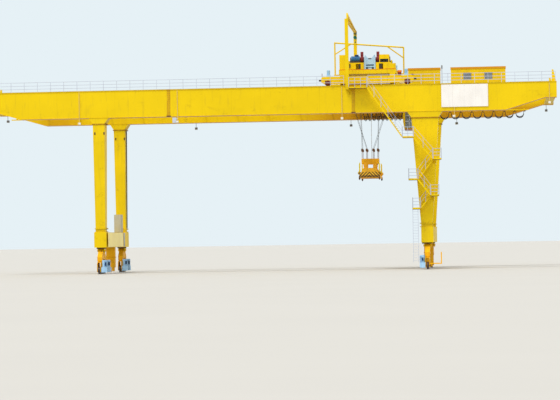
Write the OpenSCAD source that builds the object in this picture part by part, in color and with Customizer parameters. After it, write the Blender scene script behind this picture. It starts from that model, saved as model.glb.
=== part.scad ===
// Rail-mounted double-girder gantry crane with two cantilevers, a container spreader,
// a service gantry over the trolley and a stair on one leg. Half-size model, millimetres.
// X runs along the girders, Y along the crane rails, Z up. The origin is on the floor
// plane, midway between the four legs. The front is the -Y side.

/* [Layout] */
// Distance between the leg centres, along the girders
span = 18400; // [15000:100:19500]
// Whole length of each girder
girder_length = 33000; // [31600:100:34000]
// Distance between the two girders, centre to centre
girder_gap = 7500; // [6800:50:8000]
// Height of the girders' underside above the floor
girder_bottom = 8800; // [8400:50:10000]

/* [Girders] */
// Depth of a girder between the legs
girder_depth = 1525; // [1300:5:1700]
// Width of a girder's flanges
girder_width = 950; // [900:10:1000]
// Depth of a girder at its tip
tip_depth = 875; // [700:5:1000]
// Level underside beyond a leg centre
cantilever_flat = 4475; // [3600:50:4600]
// Length of the rising underside
tip_slope = 2200; // [1600:50:2400]
// Overhang of the flanges beyond the webs
flange_lip = 30; // [15:1:40]
// Thickness of the flanges
flange_t = 24; // [16:1:30]
// Distance of a splice band from midspan
splice_x = 5200; // [4700:50:5600]
// Width of a splice band
splice_w = 130; // [80:5:180]
// Height and width of a trolley rail
rail_h = 65; // [50:1:80]
rail_w = 50; // [40:1:60]
// Distance of a rail's centre from the girder's inner edge
rail_inset = 60; // [50:1:80]
// Width and height of an end tie between the girders
tie_w = 500; // [300:5:540]
tie_h = 500; // [350:5:600]

/* [Legs] */
// Height of the top flange below the girder
haunch_h = 330; // [250:5:400]
// Height of the sill beam's top and of the flange over it, above the floor
sill_top = 2350; // [2200:10:2400]
foot_z = 2540; // [2450:10:2700]
// Thickness of a leg flange
leg_flange_t = 40; // [30:1:60]
// Overhang of the leg flanges
leg_lip = 50; // [30:1:60]
// Wide leg, outer half width at its top and at its foot
wide_out_top = 730; // [600:1:780]
wide_out_foot = 305; // [280:1:360]
// Wide leg, inner half width at its top and at its foot
wide_in_top = 785; // [700:1:950]
wide_in_foot = 340; // [280:1:400]
// Slim leg, half width at its top and at its foot
slim_top = 335; // [300:1:400]
slim_foot = 275; // [230:1:300]
// Depth of a leg along the rail at its top and at its foot
leg_deep_top = 850; // [700:10:890]
leg_deep_foot = 640; // [560:10:700]
// Height and width of a sill beam
sill_h = 850; // [700:10:950]
sill_w = 680; // [520:10:700]
// Distance that a sill beam reaches past a leg centre
sill_reach = 460; // [380:10:600]

/* [Travel bogies] */
// Tread radius of a crane wheel
wheel_r = 190; // [160:1:200]
// Height of a wheel flange over its tread
wheel_lip = 22; // [12:1:28]
// Width of the tread of a crane wheel
tread_w = 70; // [56:1:80]
// Distance between the two wheels of a truck
truck_base = 500; // [460:5:560]
// Distance between the two trucks of a corner
truck_gap = 1200; // [1100:10:1400]
// Height of the truck's side plates
truck_h = 560; // [480:10:640]
// Radius of the bogie pins
bogie_pin_r = 60; // [45:1:75]
// Height of the main bogie pin above the floor
bogie_pin_z = 1330; // [1280:5:1400]

/* [Trolley] */
// Place of the trolley's centre along the girders
trolley_x = 5975; // [2000:5:7000]
// Length of the trolley's side beams
trolley_length = 5200; // [5050:10:5600]
// Distance between the trolley's wheels
trolley_base = 4460; // [4000:5:4600]
// Tread radius of a trolley wheel
trolley_wheel_r = 175; // [150:1:185]
// Height of the side beams
side_beam_h = 400; // [360:5:440]
// Half length of the machinery deck
deck_half = 1600; // [1580:10:1800]
// Height of the deck's frame
deck_h = 255; // [200:5:320]
// Radius and length of the hoist drum
drum_r = 260; // [220:5:290]
drum_length = 2300; // [2000:10:2360]

/* [Spreader] */
// Length of the spreader along the rail direction
spreader_length = 3029; // [2600:1:3300]
// Half width of the spreader over its corners
spreader_half = 610; // [560:1:640]
// Height of the spreader's lowest point above the floor
spreader_bottom = 5110; // [4900:10:5400]
// Half width and half length of the headblock
headblock_half = 486; // [440:1:520]
headblock_reach = 650; // [560:5:800]
// Radius of a wire rope
rope_r = 9; // [6:1:12]

/* [Service gantry] */
// Place of the service gantry along the girders
service_x = 4885; // [4200:1:5200]
// Height of the service beam's underside above the girders
service_h = 3560; // [3300:10:3700]
// Width of a service mast
mast_w = 190; // [150:5:220]

/* [Stair] */
// Width of each of the stair's two lanes
stair_w = 290; // [260:5:295]
// Rise from tread to tread
tread_rise = 112; // [95:1:130]
// Height of the railings
rail_height = 560; // [480:5:600]
// Size of a railing's square bars
bar = 24; // [18:1:28]

/* [Hidden] */

crane_yellow = [0.93, 0.81, 0.05];
deep_yellow = [0.93, 0.66, 0.06];
rail_grey = [0.78, 0.8, 0.82];
motor_blue = [0.3, 0.5, 0.75];
dark_grey = [0.2, 0.2, 0.22];
brake_red = [0.5, 0.15, 0.15];

// Running and seating clearance of round fits
play = 0.3;

girder_y = girder_gap / 2;
girder_top = girder_bottom + girder_depth;
outer_y = girder_y + girder_width / 2;
inner_y = girder_y - girder_width / 2;
leg_x = span / 2;
flat_end = leg_x + cantilever_flat;
slope_end = flat_end + tip_slope;
tip_x = girder_length / 2;
rail_y = inner_y + rail_inset;
rail_top = girder_top + rail_h;
leg_top = girder_bottom - haunch_h;
sill_bottom = sill_top - sill_h;
walk_y = outer_y + 475;
stair_front = outer_y + 555;
corner_signs = [[-1, -1], [1, -1], [-1, 1], [1, 1]];

wheel_z = wheel_r + wheel_lip;
truck_bottom = wheel_z - 90;
truck_top = truck_bottom + truck_h;
truck_w = 190;
truck_plate = 25;
truck_axle = truck_w + truck_plate + 30;
truck_long = truck_base + 2 * wheel_r - 40;

side_beam_z = rail_top + 95;
side_beam_top = side_beam_z + side_beam_h;
trolley_axle_z = rail_top + trolley_wheel_r + play;
trolley_axle_r = 36;
deck_z = side_beam_top + 135;
deck_top = deck_z + deck_h;
cross_x = 1400;
cross_w = 300;
drum_z = deck_top + 620;

winch_x = trolley_x + 55;
winch_y = 1340;
// Height of the winch's shafts and of its stands above the deck
winch_h = 710;
stand_h = 500;
// Gap in the front stand for the gearbox, on both sides of its centre
gearbox_gap = 345;

// Place of the load's centre, below the drum
load_x = trolley_x - 80;
lock_h = 130;
// Distance of a lock from the spreader's side and from its end
lock_inset = [45.5, 51.5];
frame_z = spreader_bottom + lock_h;
waist_z = frame_z + 590;
waist_half = 355;
head_z = waist_z + 225;
head_top = head_z + 285;
rod_top = head_top + 540;
flipper_x = spreader_half + 12;
flipper_z = frame_z + 270;
flipper_y = spreader_length / 2 - 200;
flipper_w = 110;
flipper_pin_r = 22;

house_front = rail_y + 470;
house_rear = walk_y - 60;
house_floor = girder_top + 30;
small_house = [leg_x - 1190, leg_x + 695];
large_house = [leg_x + 1325, leg_x + 4535];
house_h = 1370;

service_beam_z = girder_top + service_h;
mast_y = outer_y + mast_w / 2;
service_hoist_y = 3400;
beam_flange = 16;
// Place of the service beam beside the masts' centre
beam_x = 50;

// Levels of the stair's landings, from the girder walkway down
landing_z = [girder_top - 105, 7410, 6175, 5060, 4160, 3440];
// Both ends of each landing along the girders
landing_x = [
    [service_x + mast_w / 2, leg_x - 3200],
    [leg_x - 1275, leg_x - 665],
    [leg_x + 400, leg_x + 865],
    [leg_x - 980, leg_x - 453],
    [leg_x + 240, leg_x + 700],
    [leg_x - 787, leg_x - 343],
];
// Lane of each flight, 0 at the front and 1 next to the leg
flight_lane = [0, 0, 1, 0, 1];
// Places of the landings' brackets on the leg
bracket_x = [0, leg_x - 674, leg_x + 440, leg_x - 475, leg_x + 300, leg_x - 352];
landing_t = 80;
// Depth of a landing railing's foot below the landing
rail_seat = 30;

festoon_y = inner_y - 330;
festoon_z = girder_bottom + 330;
festoon_start = trolley_x - 600;
festoon_end = flat_end + 1150;
cable_half = 18;
// Loops of the festoon: bunched, even and wide ones, each with its share of the length
festoon_loops = [10, 8, 2];
festoon_share = [0.25, 0.63, 0.9];

cabin_x = [deck_half + 245, deck_half + 1245];
cabin_z = [girder_bottom - 870, girder_bottom + 380];
cabin_half = 520;
cabin_frame = 60;
// Sill of the cabin's side windows above its floor
cabin_sill = 120;
// Height of the knee in the cabin's slanting front
cabin_knee = 500;

lamp_x = [-tip_x + 410, -leg_x - 1080, -splice_x + 500, splice_x - 640, leg_x + 1620, tip_x - 410];
// Drop of the lamps' brackets below a girder, and height of a lamp
lamp_drop = 235;
lamp_h = 130;
lamp_post_h = 1375;
sign_x = [leg_x + 910, leg_x + 3500];
sign_z = [girder_bottom + 210, girder_top - 65];

// Box between two opposite corners
module slab(from, to) {
    translate(from) cube(to - from);
}

// Round bar between two points
module rod(from, to, r, sides = 24) {
    d = to - from;
    translate(from)
        rotate([0, acos(d[2] / norm(d)), atan2(d[1], d[0])])
            cylinder(r = r, h = norm(d), $fn = sides);
}

// Plate with an outline in X and Z, between two places along Y
module plate_xz(points, y0, y1) {
    translate([0, y1, 0]) rotate([90, 0, 0]) linear_extrude(y1 - y0) polygon(points);
}

// Plate with an outline in Y and Z, between two places along X
module plate_yz(points, x0, x1) {
    translate([x0, 0, 0]) rotate([90, 0, 90]) linear_extrude(x1 - x0) polygon(points);
}

// Side outline of a girder, drawn in by a margin under its top and over its underside
function girder_outline(in = 0) = [
    [-tip_x, girder_top - in], [tip_x, girder_top - in],
    [tip_x, girder_top - tip_depth + in], [slope_end, girder_top - tip_depth + in],
    [flat_end, girder_bottom + in], [-flat_end, girder_bottom + in],
    [-slope_end, girder_top - tip_depth + in], [-tip_x, girder_top - tip_depth + in],
];

// Box girder: webs set back under the flanges, with its two splice bands
module girder(side) {
    web_y0 = girder_y - girder_width / 2 + flange_lip;
    web_y1 = girder_y + girder_width / 2 - flange_lip;
    mirror([0, side < 0 ? 1 : 0, 0]) {
        plate_xz(girder_outline(), web_y0, web_y1);
        difference() {
            plate_xz(girder_outline(), inner_y, outer_y);
            plate_xz(girder_outline(flange_t), inner_y - 1, outer_y + 1);
        }
        for (s = [-1, 1])
            slab([s * splice_x - splice_w / 2, web_y0 - 8, girder_bottom + flange_t],
                 [s * splice_x + splice_w / 2, web_y1 + 8, girder_top - flange_t]);
    }
}

module front_girder() {
    color(crane_yellow) girder(-1);
}

module rear_girder() {
    color(crane_yellow) girder(1);
}

// Box ties across the girder tips
module end_ties() {
    color(crane_yellow)
    for (s = [-1, 1])
        translate([s * (tip_x - 60 - tie_w / 2), 0, 0])
            slab([-tie_w / 2, -inner_y - flange_lip, girder_top - tip_depth + flange_t],
                 [tie_w / 2, inner_y + flange_lip, girder_top - tip_depth + flange_t + tie_h]);
}

module trolley_rails() {
    color(dark_grey)
    for (s = [-1, 1])
        translate([0, s * rail_y, girder_top])
            slab([-tip_x + 100, -rail_w / 2, 0], [tip_x - 100, rail_w / 2, rail_h]);
}

// Pointed buffer stops at the ends of both trolley rails
module end_stops() {
    stop = [[0, 0], [260, 0], [260, 60], [120, 700], [30, 700], [30, 180], [0, 180]];
    color(crane_yellow)
    for (sx = [-1, 1], sy = [-1, 1])
        mirror([sx < 0 ? 1 : 0, 0, 0])
            translate([tip_x - 270, sy * (rail_y + 90), girder_top])
                plate_xz(stop, -55, 55);
}

// Outline of a leg in X and Z, from the sill beam to the top flange
function leg_outline(out_top, out_foot, in_top, in_foot) = [
    [-in_foot, sill_top], [out_foot, sill_top], [out_foot, foot_z],
    [out_top, leg_top], [-in_top, leg_top], [-in_foot, foot_z],
];

// Distance of a leg's front face from its centre at a height
function leg_face(z) =
    (leg_deep_foot + (leg_deep_top - leg_deep_foot) * (z - foot_z) / (leg_top - foot_z)) / 2;

// Tapered box leg with two foot flanges, top flange and flared head
module leg(out_top, out_foot, in_top, in_foot, haunch_in, haunch_out) {
    low = leg_deep_foot / 2;
    high = leg_deep_top / 2;
    deep = [[-low, sill_top], [low, sill_top], [low, foot_z], [high, leg_top],
            [-high, leg_top], [-low, foot_z]];
    head_deep = girder_width / 2 - 20;
    intersection() {
        plate_xz(leg_outline(out_top, out_foot, in_top, in_foot), -girder_width, girder_width);
        plate_yz(deep, -girder_width * 2, girder_width * 2);
    }
    for (z = [sill_top, foot_z])
        slab([-in_foot - leg_lip, -low - leg_lip, z],
             [out_foot + leg_lip, low + leg_lip, z + leg_flange_t]);
    slab([-in_top - leg_lip, -head_deep, leg_top - leg_flange_t],
         [out_top + leg_lip, head_deep, leg_top]);
    plate_xz([[-in_top, leg_top], [out_top, leg_top],
              [out_top + haunch_out, girder_bottom], [-in_top - haunch_in, girder_bottom]],
             -head_deep, head_deep);
}

module right_legs() {
    color(crane_yellow)
    for (side = [-1, 1])
        translate([leg_x, side * girder_y, 0])
            leg(wide_out_top, wide_out_foot, wide_in_top, wide_in_foot, 230, 215);
}

module left_legs() {
    color(crane_yellow)
    for (side = [-1, 1])
        translate([-leg_x, side * girder_y, 0])
            leg(slim_top, slim_foot, slim_top, slim_foot, 220, 220);
}

// Sill beams under the legs, with the fork plates that hold the bogie pins
module sill_beams() {
    reach = girder_y + sill_reach;
    fork_gap = 150;
    color(crane_yellow)
    for (x = [-leg_x, leg_x])
        translate([x, 0, 0])
            difference() {
                union() {
                    slab([-sill_w / 2, -reach, sill_bottom], [sill_w / 2, reach, sill_top]);
                    for (s = [-1, 1], t = [-1, 1])
                        translate([t * (fork_gap + 25), s * girder_y, 0])
                            plate_yz([[-260, sill_bottom], [-110, bogie_pin_z - 110],
                                      [110, bogie_pin_z - 110], [260, sill_bottom]], -25, 25);
                }
                for (s = [-1, 1])
                    translate([-sill_w, s * girder_y, bogie_pin_z])
                        rotate([0, 90, 0])
                            cylinder(r = bogie_pin_r + play, h = 2 * sill_w, $fn = 48);
            }
}

// Grey control cabinet that stands on the left sill beam
module sill_cabinet() {
    color([0.78, 0.76, 0.68])
    slab([-leg_x - 50, 1200, sill_top], [-leg_x + sill_w / 2, 2000, sill_top + 1050]);
}

// Balance beams, each on a pin under the sill beam and over two trucks
module equalizer_beams() {
    half = truck_gap / 2;
    seat_z = truck_top + 40;
    outline = [[-half - 130, seat_z], [-half + 130, seat_z], [-half + 220, seat_z + 120],
               [half - 220, seat_z + 120], [half - 130, seat_z], [half + 130, seat_z],
               [half + 130, seat_z + 240], [150, bogie_pin_z + 100],
               [-150, bogie_pin_z + 100], [-half - 130, seat_z + 240]];
    color(crane_yellow)
    for (c = corner_signs)
        translate([c[0] * leg_x, c[1] * girder_y, 0]) {
            plate_yz(outline, -135, 135);
            translate([-240, 0, bogie_pin_z])
                rotate([0, 90, 0]) cylinder(r = bogie_pin_r, h = 480, $fn = 48);
            for (s = [-1, 1])
                slab([-110, s * half - 110, truck_top], [110, s * half + 110, seat_z]);
        }
}

// Places of the eight wheel trucks
function truck_places() = [
    for (c = corner_signs, s = [-1, 1])
        [c[0] * leg_x, c[1] * girder_y + s * truck_gap / 2, 0]
];

// Two-wheel trucks: side plates joined by a top plate and end guards
module wheel_trucks() {
    half = truck_long / 2;
    color(crane_yellow) {
    for (p = truck_places())
        translate(p)
            difference() {
                union() {
                    for (s = [-1, 1])
                        plate_yz([[-half, truck_bottom], [half, truck_bottom],
                                  [half, truck_top - 90], [half - 130, truck_top],
                                  [-half + 130, truck_top], [-half, truck_top - 90]],
                                 s * truck_w / 2 - truck_plate / 2,
                                 s * truck_w / 2 + truck_plate / 2);
                    slab([-truck_w / 2, -half + 130, truck_top - 40],
                         [truck_w / 2, half - 130, truck_top]);
                }
                for (s = [-1, 1])
                    translate([-truck_w, s * truck_base / 2, wheel_z])
                        rotate([0, 90, 0]) cylinder(r = 45 + play, h = 2 * truck_w, $fn = 40);
            }
    // Guard arm beside the truck at the front right
    translate([leg_x, -girder_y - truck_gap / 2 - half, 0]) {
        slab([truck_w / 2, 0, 300], [800, 60, 360]);
        slab([740, 0, 360], [800, 60, 960]);
    }
    }
}

// Wheel with two flanges, turned about the X axis, with its axle
module flanged_wheel(tread_r, lip, tread, axle_r, axle_long) {
    rotate([0, 90, 0])
        rotate_extrude($fn = 64)
            polygon([[0, -axle_long / 2], [axle_r, -axle_long / 2], [axle_r, -tread / 2 - 14],
                     [tread_r + lip, -tread / 2 - 10], [tread_r + lip, -tread / 2 - 2],
                     [tread_r, -tread / 2], [tread_r, tread / 2],
                     [tread_r + lip, tread / 2 + 2], [tread_r + lip, tread / 2 + 10],
                     [axle_r, tread / 2 + 14], [axle_r, axle_long / 2], [0, axle_long / 2]]);
}

module gantry_wheels() {
    color(dark_grey)
    for (p = truck_places(), s = [-1, 1])
        translate(p + [0, s * truck_base / 2, wheel_z])
            flanged_wheel(wheel_r, wheel_lip, tread_w, 45, truck_axle);
}

// Gear case and upright motor beside the front wheel of each truck
module gantry_drives() {
    face = truck_axle / 2;
    case_w = 310;
    case_h = 180;
    color(motor_blue)
    for (p = truck_places())
        translate(p + [0, -truck_base / 2, wheel_z])
            mirror([p[0] < 0 ? 0 : 1, 0, 0]) {
                slab([face, -130, -110], [face + case_w, 130, case_h]);
                translate([face + case_w - 145, 0, case_h]) cylinder(r = 125, h = 400, $fn = 40);
            }
}

// Railing between two points on one level: posts and three rails
module railing_run(from, to, pitch) {
    d = to - from;
    length = norm(d);
    count = max(1, round(length / pitch));
    translate(from)
        rotate([0, 0, atan2(d[1], d[0])]) {
            for (k = [0 : count])
                slab([k * (length - bar) / count, -bar / 2, 0],
                     [k * (length - bar) / count + bar, bar / 2, rail_height]);
            for (h = [0.34, 0.66, 1])
                slab([0, -bar / 2, h * rail_height - bar], [length, bar / 2, h * rail_height]);
        }
}

module girder_railings() {
    y = outer_y - bar;
    end = tip_x - 60;
    runs = [[-1, -end, service_x - mast_w], [-1, landing_x[0][1] + 20, end],
            [1, -end, small_house[0] - 250], [1, large_house[1] + 250, end]];
    color(rail_grey)
    for (r = runs)
        railing_run([r[1], r[0] * y, girder_top], [r[2], r[0] * y, girder_top], 750);
}

// Walkway landing by the girder, and five landings with brackets on the leg's front
module stair_landings() {
    color(crane_yellow)
    for (k = [0 : len(landing_z) - 1]) {
        z = landing_z[k];
        back = k == 0 ? -outer_y : -girder_y - leg_face(z);
        slab([landing_x[k][0], -stair_front, z - landing_t], [landing_x[k][1], back, z]);
        if (k > 0)
            plate_yz([[-stair_front + 40, z - landing_t], [-stair_front + 40, z - landing_t - 40],
                      [-girder_y - leg_face(z - 290), z - 290], [back, z - landing_t]],
                     bracket_x[k] - 8, bracket_x[k] + 8);
        else
            plate_yz([[-stair_front + 40, z - landing_t], [-stair_front + 40, z - landing_t - 30],
                      [-outer_y + flange_lip, z - 420], [-outer_y + flange_lip, z - landing_t]],
                     landing_x[0][0] + 4, landing_x[0][0] + 20);
    }
}

// Front face of a flight's lane
function lane_y(k) = -stair_front + flight_lane[k] * (stair_w + bar + 4);

// Direction, start and end of a flight along the girders
function flight_down(k) = landing_x[k + 1][0] > landing_x[k][0] ? 1 : -1;
function flight_from(k) = landing_x[k][flight_down(k) > 0 ? 1 : 0];
function flight_to(k) = landing_x[k + 1][flight_down(k) > 0 ? 0 : 1];

// Five flights, each with two stringers and its treads
module stair_flights() {
    stringer_t = 18;
    stringer_deep = 130;
    stringer_foot = 30;
    tread_t = 14;
    tread_seat = 4;
    color(crane_yellow)
    for (k = [0 : len(landing_z) - 2]) {
        down = flight_down(k);
        x0 = flight_from(k);
        x1 = flight_to(k);
        z0 = landing_z[k];
        z1 = landing_z[k + 1];
        y0 = lane_y(k);
        steps = round((z0 - z1) / tread_rise);
        go = (x1 - x0) / steps;
        fall = (z0 - z1) / steps;
        for (y = [y0, y0 + stair_w - stringer_t])
            plate_xz([[x0, z0], [x1, z1], [x1, z1 - stringer_foot], [x1 - down * 60, z1 - stringer_foot],
                      [x0, z0 - stringer_deep]], y, y + stringer_t);
        for (s = [1 : steps - 1]) {
            xs = [x0 + go * s, x0 + go * (s + 1)];
            top = z0 - fall * s - tread_seat;
            slab([min(xs), y0 + stringer_t / 2, top - tread_t], [max(xs), y0 + stair_w - stringer_t / 2, top]);
        }
    }
}

// Handrail along the front of one flight
module flight_rail(k) {
    x0 = flight_from(k);
    x1 = flight_to(k);
    z0 = landing_z[k];
    z1 = landing_z[k + 1];
    y = lane_y(k) - bar;
    posts = max(2, round(norm([x1 - x0, z1 - z0]) / 700));
    for (h = [0.5, 1])
        plate_xz([[x0, z0 + h * rail_height - bar], [x1, z1 + h * rail_height - bar],
                  [x1, z1 + h * rail_height], [x0, z0 + h * rail_height]], y, y + bar);
    for (p = [0 : posts]) {
        inset = (x1 > x0 ? 1 : -1) * bar / 2;
        x = x0 + inset + (x1 - x0 - 2 * inset) * p / posts;
        z = z0 + (z1 - z0) * p / posts;
        slab([x - bar / 2, y, z - 40], [x + bar / 2, y + bar, z + rail_height]);
    }
}

// Railings along the flights, the landings' fronts and their free ends
module stair_railings() {
    y = -stair_front - bar / 2;
    color(rail_grey) {
        for (k = [0 : len(landing_z) - 2])
            flight_rail(k);
        for (k = [0 : len(landing_z) - 1]) {
            z = landing_z[k];
            railing_run([landing_x[k][0], y, z - rail_seat], [landing_x[k][1], y, z - rail_seat], 400);
            if (k > 1) {
                x = k % 2 == 0 ? landing_x[k][1] - bar / 2 : landing_x[k][0] + bar / 2;
                railing_run([x, -stair_front - bar, z], [x, -girder_y - leg_face(z) - 60, z], 400);
            }
        }
    }
}

// Ladder with rungs from the lowest landing to near the ground
module leg_ladder() {
    x0 = landing_x[5][0] + 6;
    width = 290;
    y = -stair_front + 60;
    foot = 400;
    top = landing_z[5] - landing_t;
    color(rail_grey) {
        for (s = [0, width])
            slab([x0 + s, y, foot], [x0 + s + bar, y + bar, top]);
        for (z = [foot + 100 : 150 : top - 60])
            slab([x0 + bar / 2, y + 4, z], [x0 + width + bar / 2, y + bar - 4, z + bar - 8]);
    }
}

// Bare white plate on the front girder
module sign_plate() {
    color("white")
    slab([sign_x[0], -outer_y - 12, sign_z[0]], [sign_x[1], -outer_y, sign_z[1]]);
}

// Floodlights on drop pipes at both girders, and a lamp on a post between the houses
module floodlights() {
    color(rail_grey)
    for (x = lamp_x, s = [-1, 1]) {
        low = abs(x) > slope_end ? girder_top - tip_depth : girder_bottom;
        high = s < 0 && x > sign_x[0] && x < sign_x[1] ? sign_z[0] : girder_top - 60;
        translate([x, s * outer_y, 0]) {
            slab([-12, s > 0 ? 0 : -24, low - lamp_drop], [12, s > 0 ? 24 : 0, high]);
            slab([-75, s > 0 ? 0 : -150, low - lamp_drop - lamp_h], [75, s > 0 ? 150 : 0, low - lamp_drop]);
        }
    }
    color(rail_grey)
    translate([leg_x + 800, house_front + 200, house_floor]) {
        slab([-12, -12, 0], [12, 12, lamp_post_h]);
        slab([-40, -40, lamp_post_h], [40, 40, lamp_post_h + 200]);
    }
}

// Platform for the electrical houses on the rear girder's outer side
module house_platform() {
    x0 = small_house[0] - 200;
    x1 = large_house[1] + 200;
    color(deep_yellow) {
        slab([x0, house_front, girder_top], [x1, walk_y, house_floor]);
        for (k = [0 : 6])
            translate([x0 + 60 + k * (x1 - x0 - 120) / 6, 0, 0])
                plate_yz([[outer_y, girder_top], [walk_y - 30, girder_top],
                          [walk_y - 30, girder_top - 60], [outer_y, girder_top - 420]], -12, 12);
    }
}

// Two sheet-metal houses with deep flat roofs; the large one has two window openings
module electrical_houses() {
    roof_z = house_floor + house_h;
    window_z = house_floor + 695;
    color(deep_yellow)
    difference() {
        for (ends = [small_house, large_house]) {
            slab([ends[0], house_front, house_floor], [ends[1], house_rear, roof_z]);
            slab([ends[0] - 20, house_front - 20, roof_z - 60],
                 [ends[1] + 20, house_rear + 20, roof_z + 60]);
        }
        for (x = [large_house[0] + 730, large_house[0] + 1970])
            slab([x, house_front - 1, window_z], [x + 500, house_front + 40, window_z + 400]);
    }
}

// Fixed portal across both girders, for lifting machinery off the trolley
module service_gantry() {
    beam_h = 170;
    peak = service_beam_z + 400;
    foot = service_beam_z + beam_h - beam_flange;
    color(crane_yellow)
    translate([service_x, 0, 0]) {
        for (s = [-1, 1]) {
            slab([-mast_w / 2, s * mast_y - mast_w / 2, girder_top - 230],
                 [mast_w / 2, s * mast_y + mast_w / 2, service_beam_z + beam_h]);
        }
        for (z = [service_beam_z, service_beam_z + beam_h - beam_flange])
            slab([beam_x - 65, -mast_y, z], [beam_x + 65, mast_y, z + beam_flange]);
        slab([beam_x - 8, -mast_y, service_beam_z], [beam_x + 8, mast_y, service_beam_z + beam_h]);
        plate_yz([[-mast_y - mast_w / 2, foot], [-mast_y + mast_w / 2, foot],
                  [-mast_y + mast_w / 2, peak - 60], [mast_y - 60, service_beam_z + beam_h],
                  [mast_y - 60, foot], [mast_y + 60, foot],
                  [mast_y + 60, service_beam_z + beam_h], [-mast_y + mast_w / 2, peak + 60],
                  [-mast_y, peak + 90]], beam_x - 42, beam_x + 42);
    }
}

// Electric hoist that runs under the service beam, with its hook
module service_hoist() {
    top = service_beam_z - 20;
    roller_r = 26;
    roller_z = service_beam_z + beam_flange + play + roller_r;
    color([0.1, 0.4, 0.35])
    translate([service_x + beam_x, service_hoist_y, 0]) {
        slab([-90, -110, top - 30], [90, 110, top]);
        for (s = [-1, 1]) {
            slab([s * 82 - 8, -110, top - 30], [s * 82 + 8, 110, roller_z + roller_r]);
            for (t = [-1, 1])
                translate([s * 24, t * 70, roller_z])
                    rotate([0, s * 90, 0]) cylinder(r = roller_r, h = 58, $fn = 32);
        }
        slab([-20, -40, top - 150], [20, 40, top - 30]);
        translate([0, -230, top - 230])
            rotate([-90, 0, 0]) cylinder(r = 95, h = 460, $fn = 40);
        slab([-12, -12, top - 470], [12, 12, top - 300]);
        slab([-30, -45, top - 560], [30, 45, top - 470]);
    }
}

// Track for the festoon carriers, on brackets at the rear girder's inner face
module festoon_track() {
    x0 = -tip_x + 900;
    x1 = festoon_end + 250;
    count = 16;
    color(rail_grey) {
        slab([x0, festoon_y - 30, festoon_z], [x1, festoon_y + 30, festoon_z + 60]);
        for (k = [0 : count]) {
            x = x0 + 300 + k * (x1 - x0 - 600) / count;
            slab([x - 25, festoon_y, festoon_z + 60], [x + 25, inner_y + flange_lip, festoon_z + 110]);
        }
    }
}

// Depth of the festoon cable below its track at a place along it
function festoon_drop(u) = cable_half + play + 430 * pow(abs(sin(u * 180)), 0.6);

// Way along the track after a number of loops, in shares
function festoon_way(u) =
    festoon_share[0] * min(u, festoon_loops[0])
    + festoon_share[1] * max(0, min(u - festoon_loops[0], festoon_loops[1]))
    + festoon_share[2] * max(0, u - festoon_loops[0] - festoon_loops[1]);

// Swept cable with a square ring at each point of its route
module festoon_cable() {
    loops = festoon_loops[0] + festoon_loops[1] + festoon_loops[2];
    rings_per_loop = 8;
    count = loops * rings_per_loop;
    half = cable_half;
    route = [for (k = [0 : count])
        let (u = k / rings_per_loop)
        [festoon_start + (festoon_end - festoon_start) * festoon_way(u) / festoon_way(loops),
         festoon_y, festoon_z - festoon_drop(u)]];
    ring = [[-half, half], [half, half], [half, -half], [-half, -half]];
    points = [for (p = route, r = ring) p + [0, r[0], r[1]]];
    sides = [for (k = [0 : count - 1], s = [0 : 3])
        [4 * k + s, 4 * k + (s + 1) % 4, 4 * (k + 1) + (s + 1) % 4, 4 * (k + 1) + s]];
    color(dark_grey)
    polyhedron(points, concat(sides, [[3, 2, 1, 0]], [[for (s = [0 : 3]) 4 * count + s]]));
}

// Side beams of the trolley, cut out round the wheels and bored for their axles
module trolley_side_beams() {
    half = trolley_length / 2;
    color(crane_yellow)
    for (side = [-1, 1])
        translate([trolley_x, side * rail_y, 0])
            difference() {
                plate_xz([[-half, side_beam_z + 90], [-half + 150, side_beam_z],
                          [half - 150, side_beam_z], [half, side_beam_z + 90],
                          [half, side_beam_top - 60], [half - 90, side_beam_top],
                          [-half + 90, side_beam_top], [-half, side_beam_top - 60]],
                         -120, 120);
                for (s = [-1, 1]) {
                    slab([s * trolley_base / 2 - trolley_wheel_r - 45, -62, side_beam_z - 1],
                         [s * trolley_base / 2 + trolley_wheel_r + 45, 62, side_beam_top - 40]);
                    translate([s * trolley_base / 2, -200, trolley_axle_z])
                        rotate([-90, 0, 0])
                            cylinder(r = trolley_axle_r + play, h = 400, $fn = 40);
                }
            }
}

// Round buffers at the ends of the side beams, in line with the end stops
module trolley_buffers() {
    long = 140;
    color(dark_grey)
    for (sx = [-1, 1], sy = [-1, 1])
        translate([trolley_x + sx * trolley_length / 2, sy * (rail_y + 60), side_beam_z + 200])
            rotate([0, sx * 90, 0]) cylinder(r = 50, h = long, $fn = 32);
}

// Machinery deck on two deep cross beams, open round the ropes
module trolley_deck() {
    reach = rail_y + 100;
    inner = rail_y - 130;
    color(crane_yellow)
    translate([trolley_x, 0, 0])
    difference() {
        union() {
            slab([-deck_half, -reach, deck_z], [deck_half, reach, deck_top]);
            for (s = [-1, 1]) {
                slab([s * cross_x - cross_w / 2, -inner, girder_top + 20],
                     [s * cross_x + cross_w / 2, inner, deck_z]);
                for (t = [-1, 1])
                    translate([0, t * rail_y, 0])
                        slab([s * cross_x - cross_w / 2, -100, side_beam_top],
                             [s * cross_x + cross_w / 2, 100, deck_z]);
            }
        }
        slab([-cross_x + cross_w / 2 + 20, -700, deck_z - 1],
             [cross_x - cross_w / 2 - 20, 700, deck_top + 1]);
    }
}

// Two wheels on one line across the trolley
module trolley_wheel_pair(side) {
    color(dark_grey)
    for (s = [-1, 1])
        translate([trolley_x + side * trolley_base / 2, s * rail_y, trolley_axle_z])
            rotate([0, 0, 90])
                flanged_wheel(trolley_wheel_r, 20, rail_w + 10, trolley_axle_r, 300);
}

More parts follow.
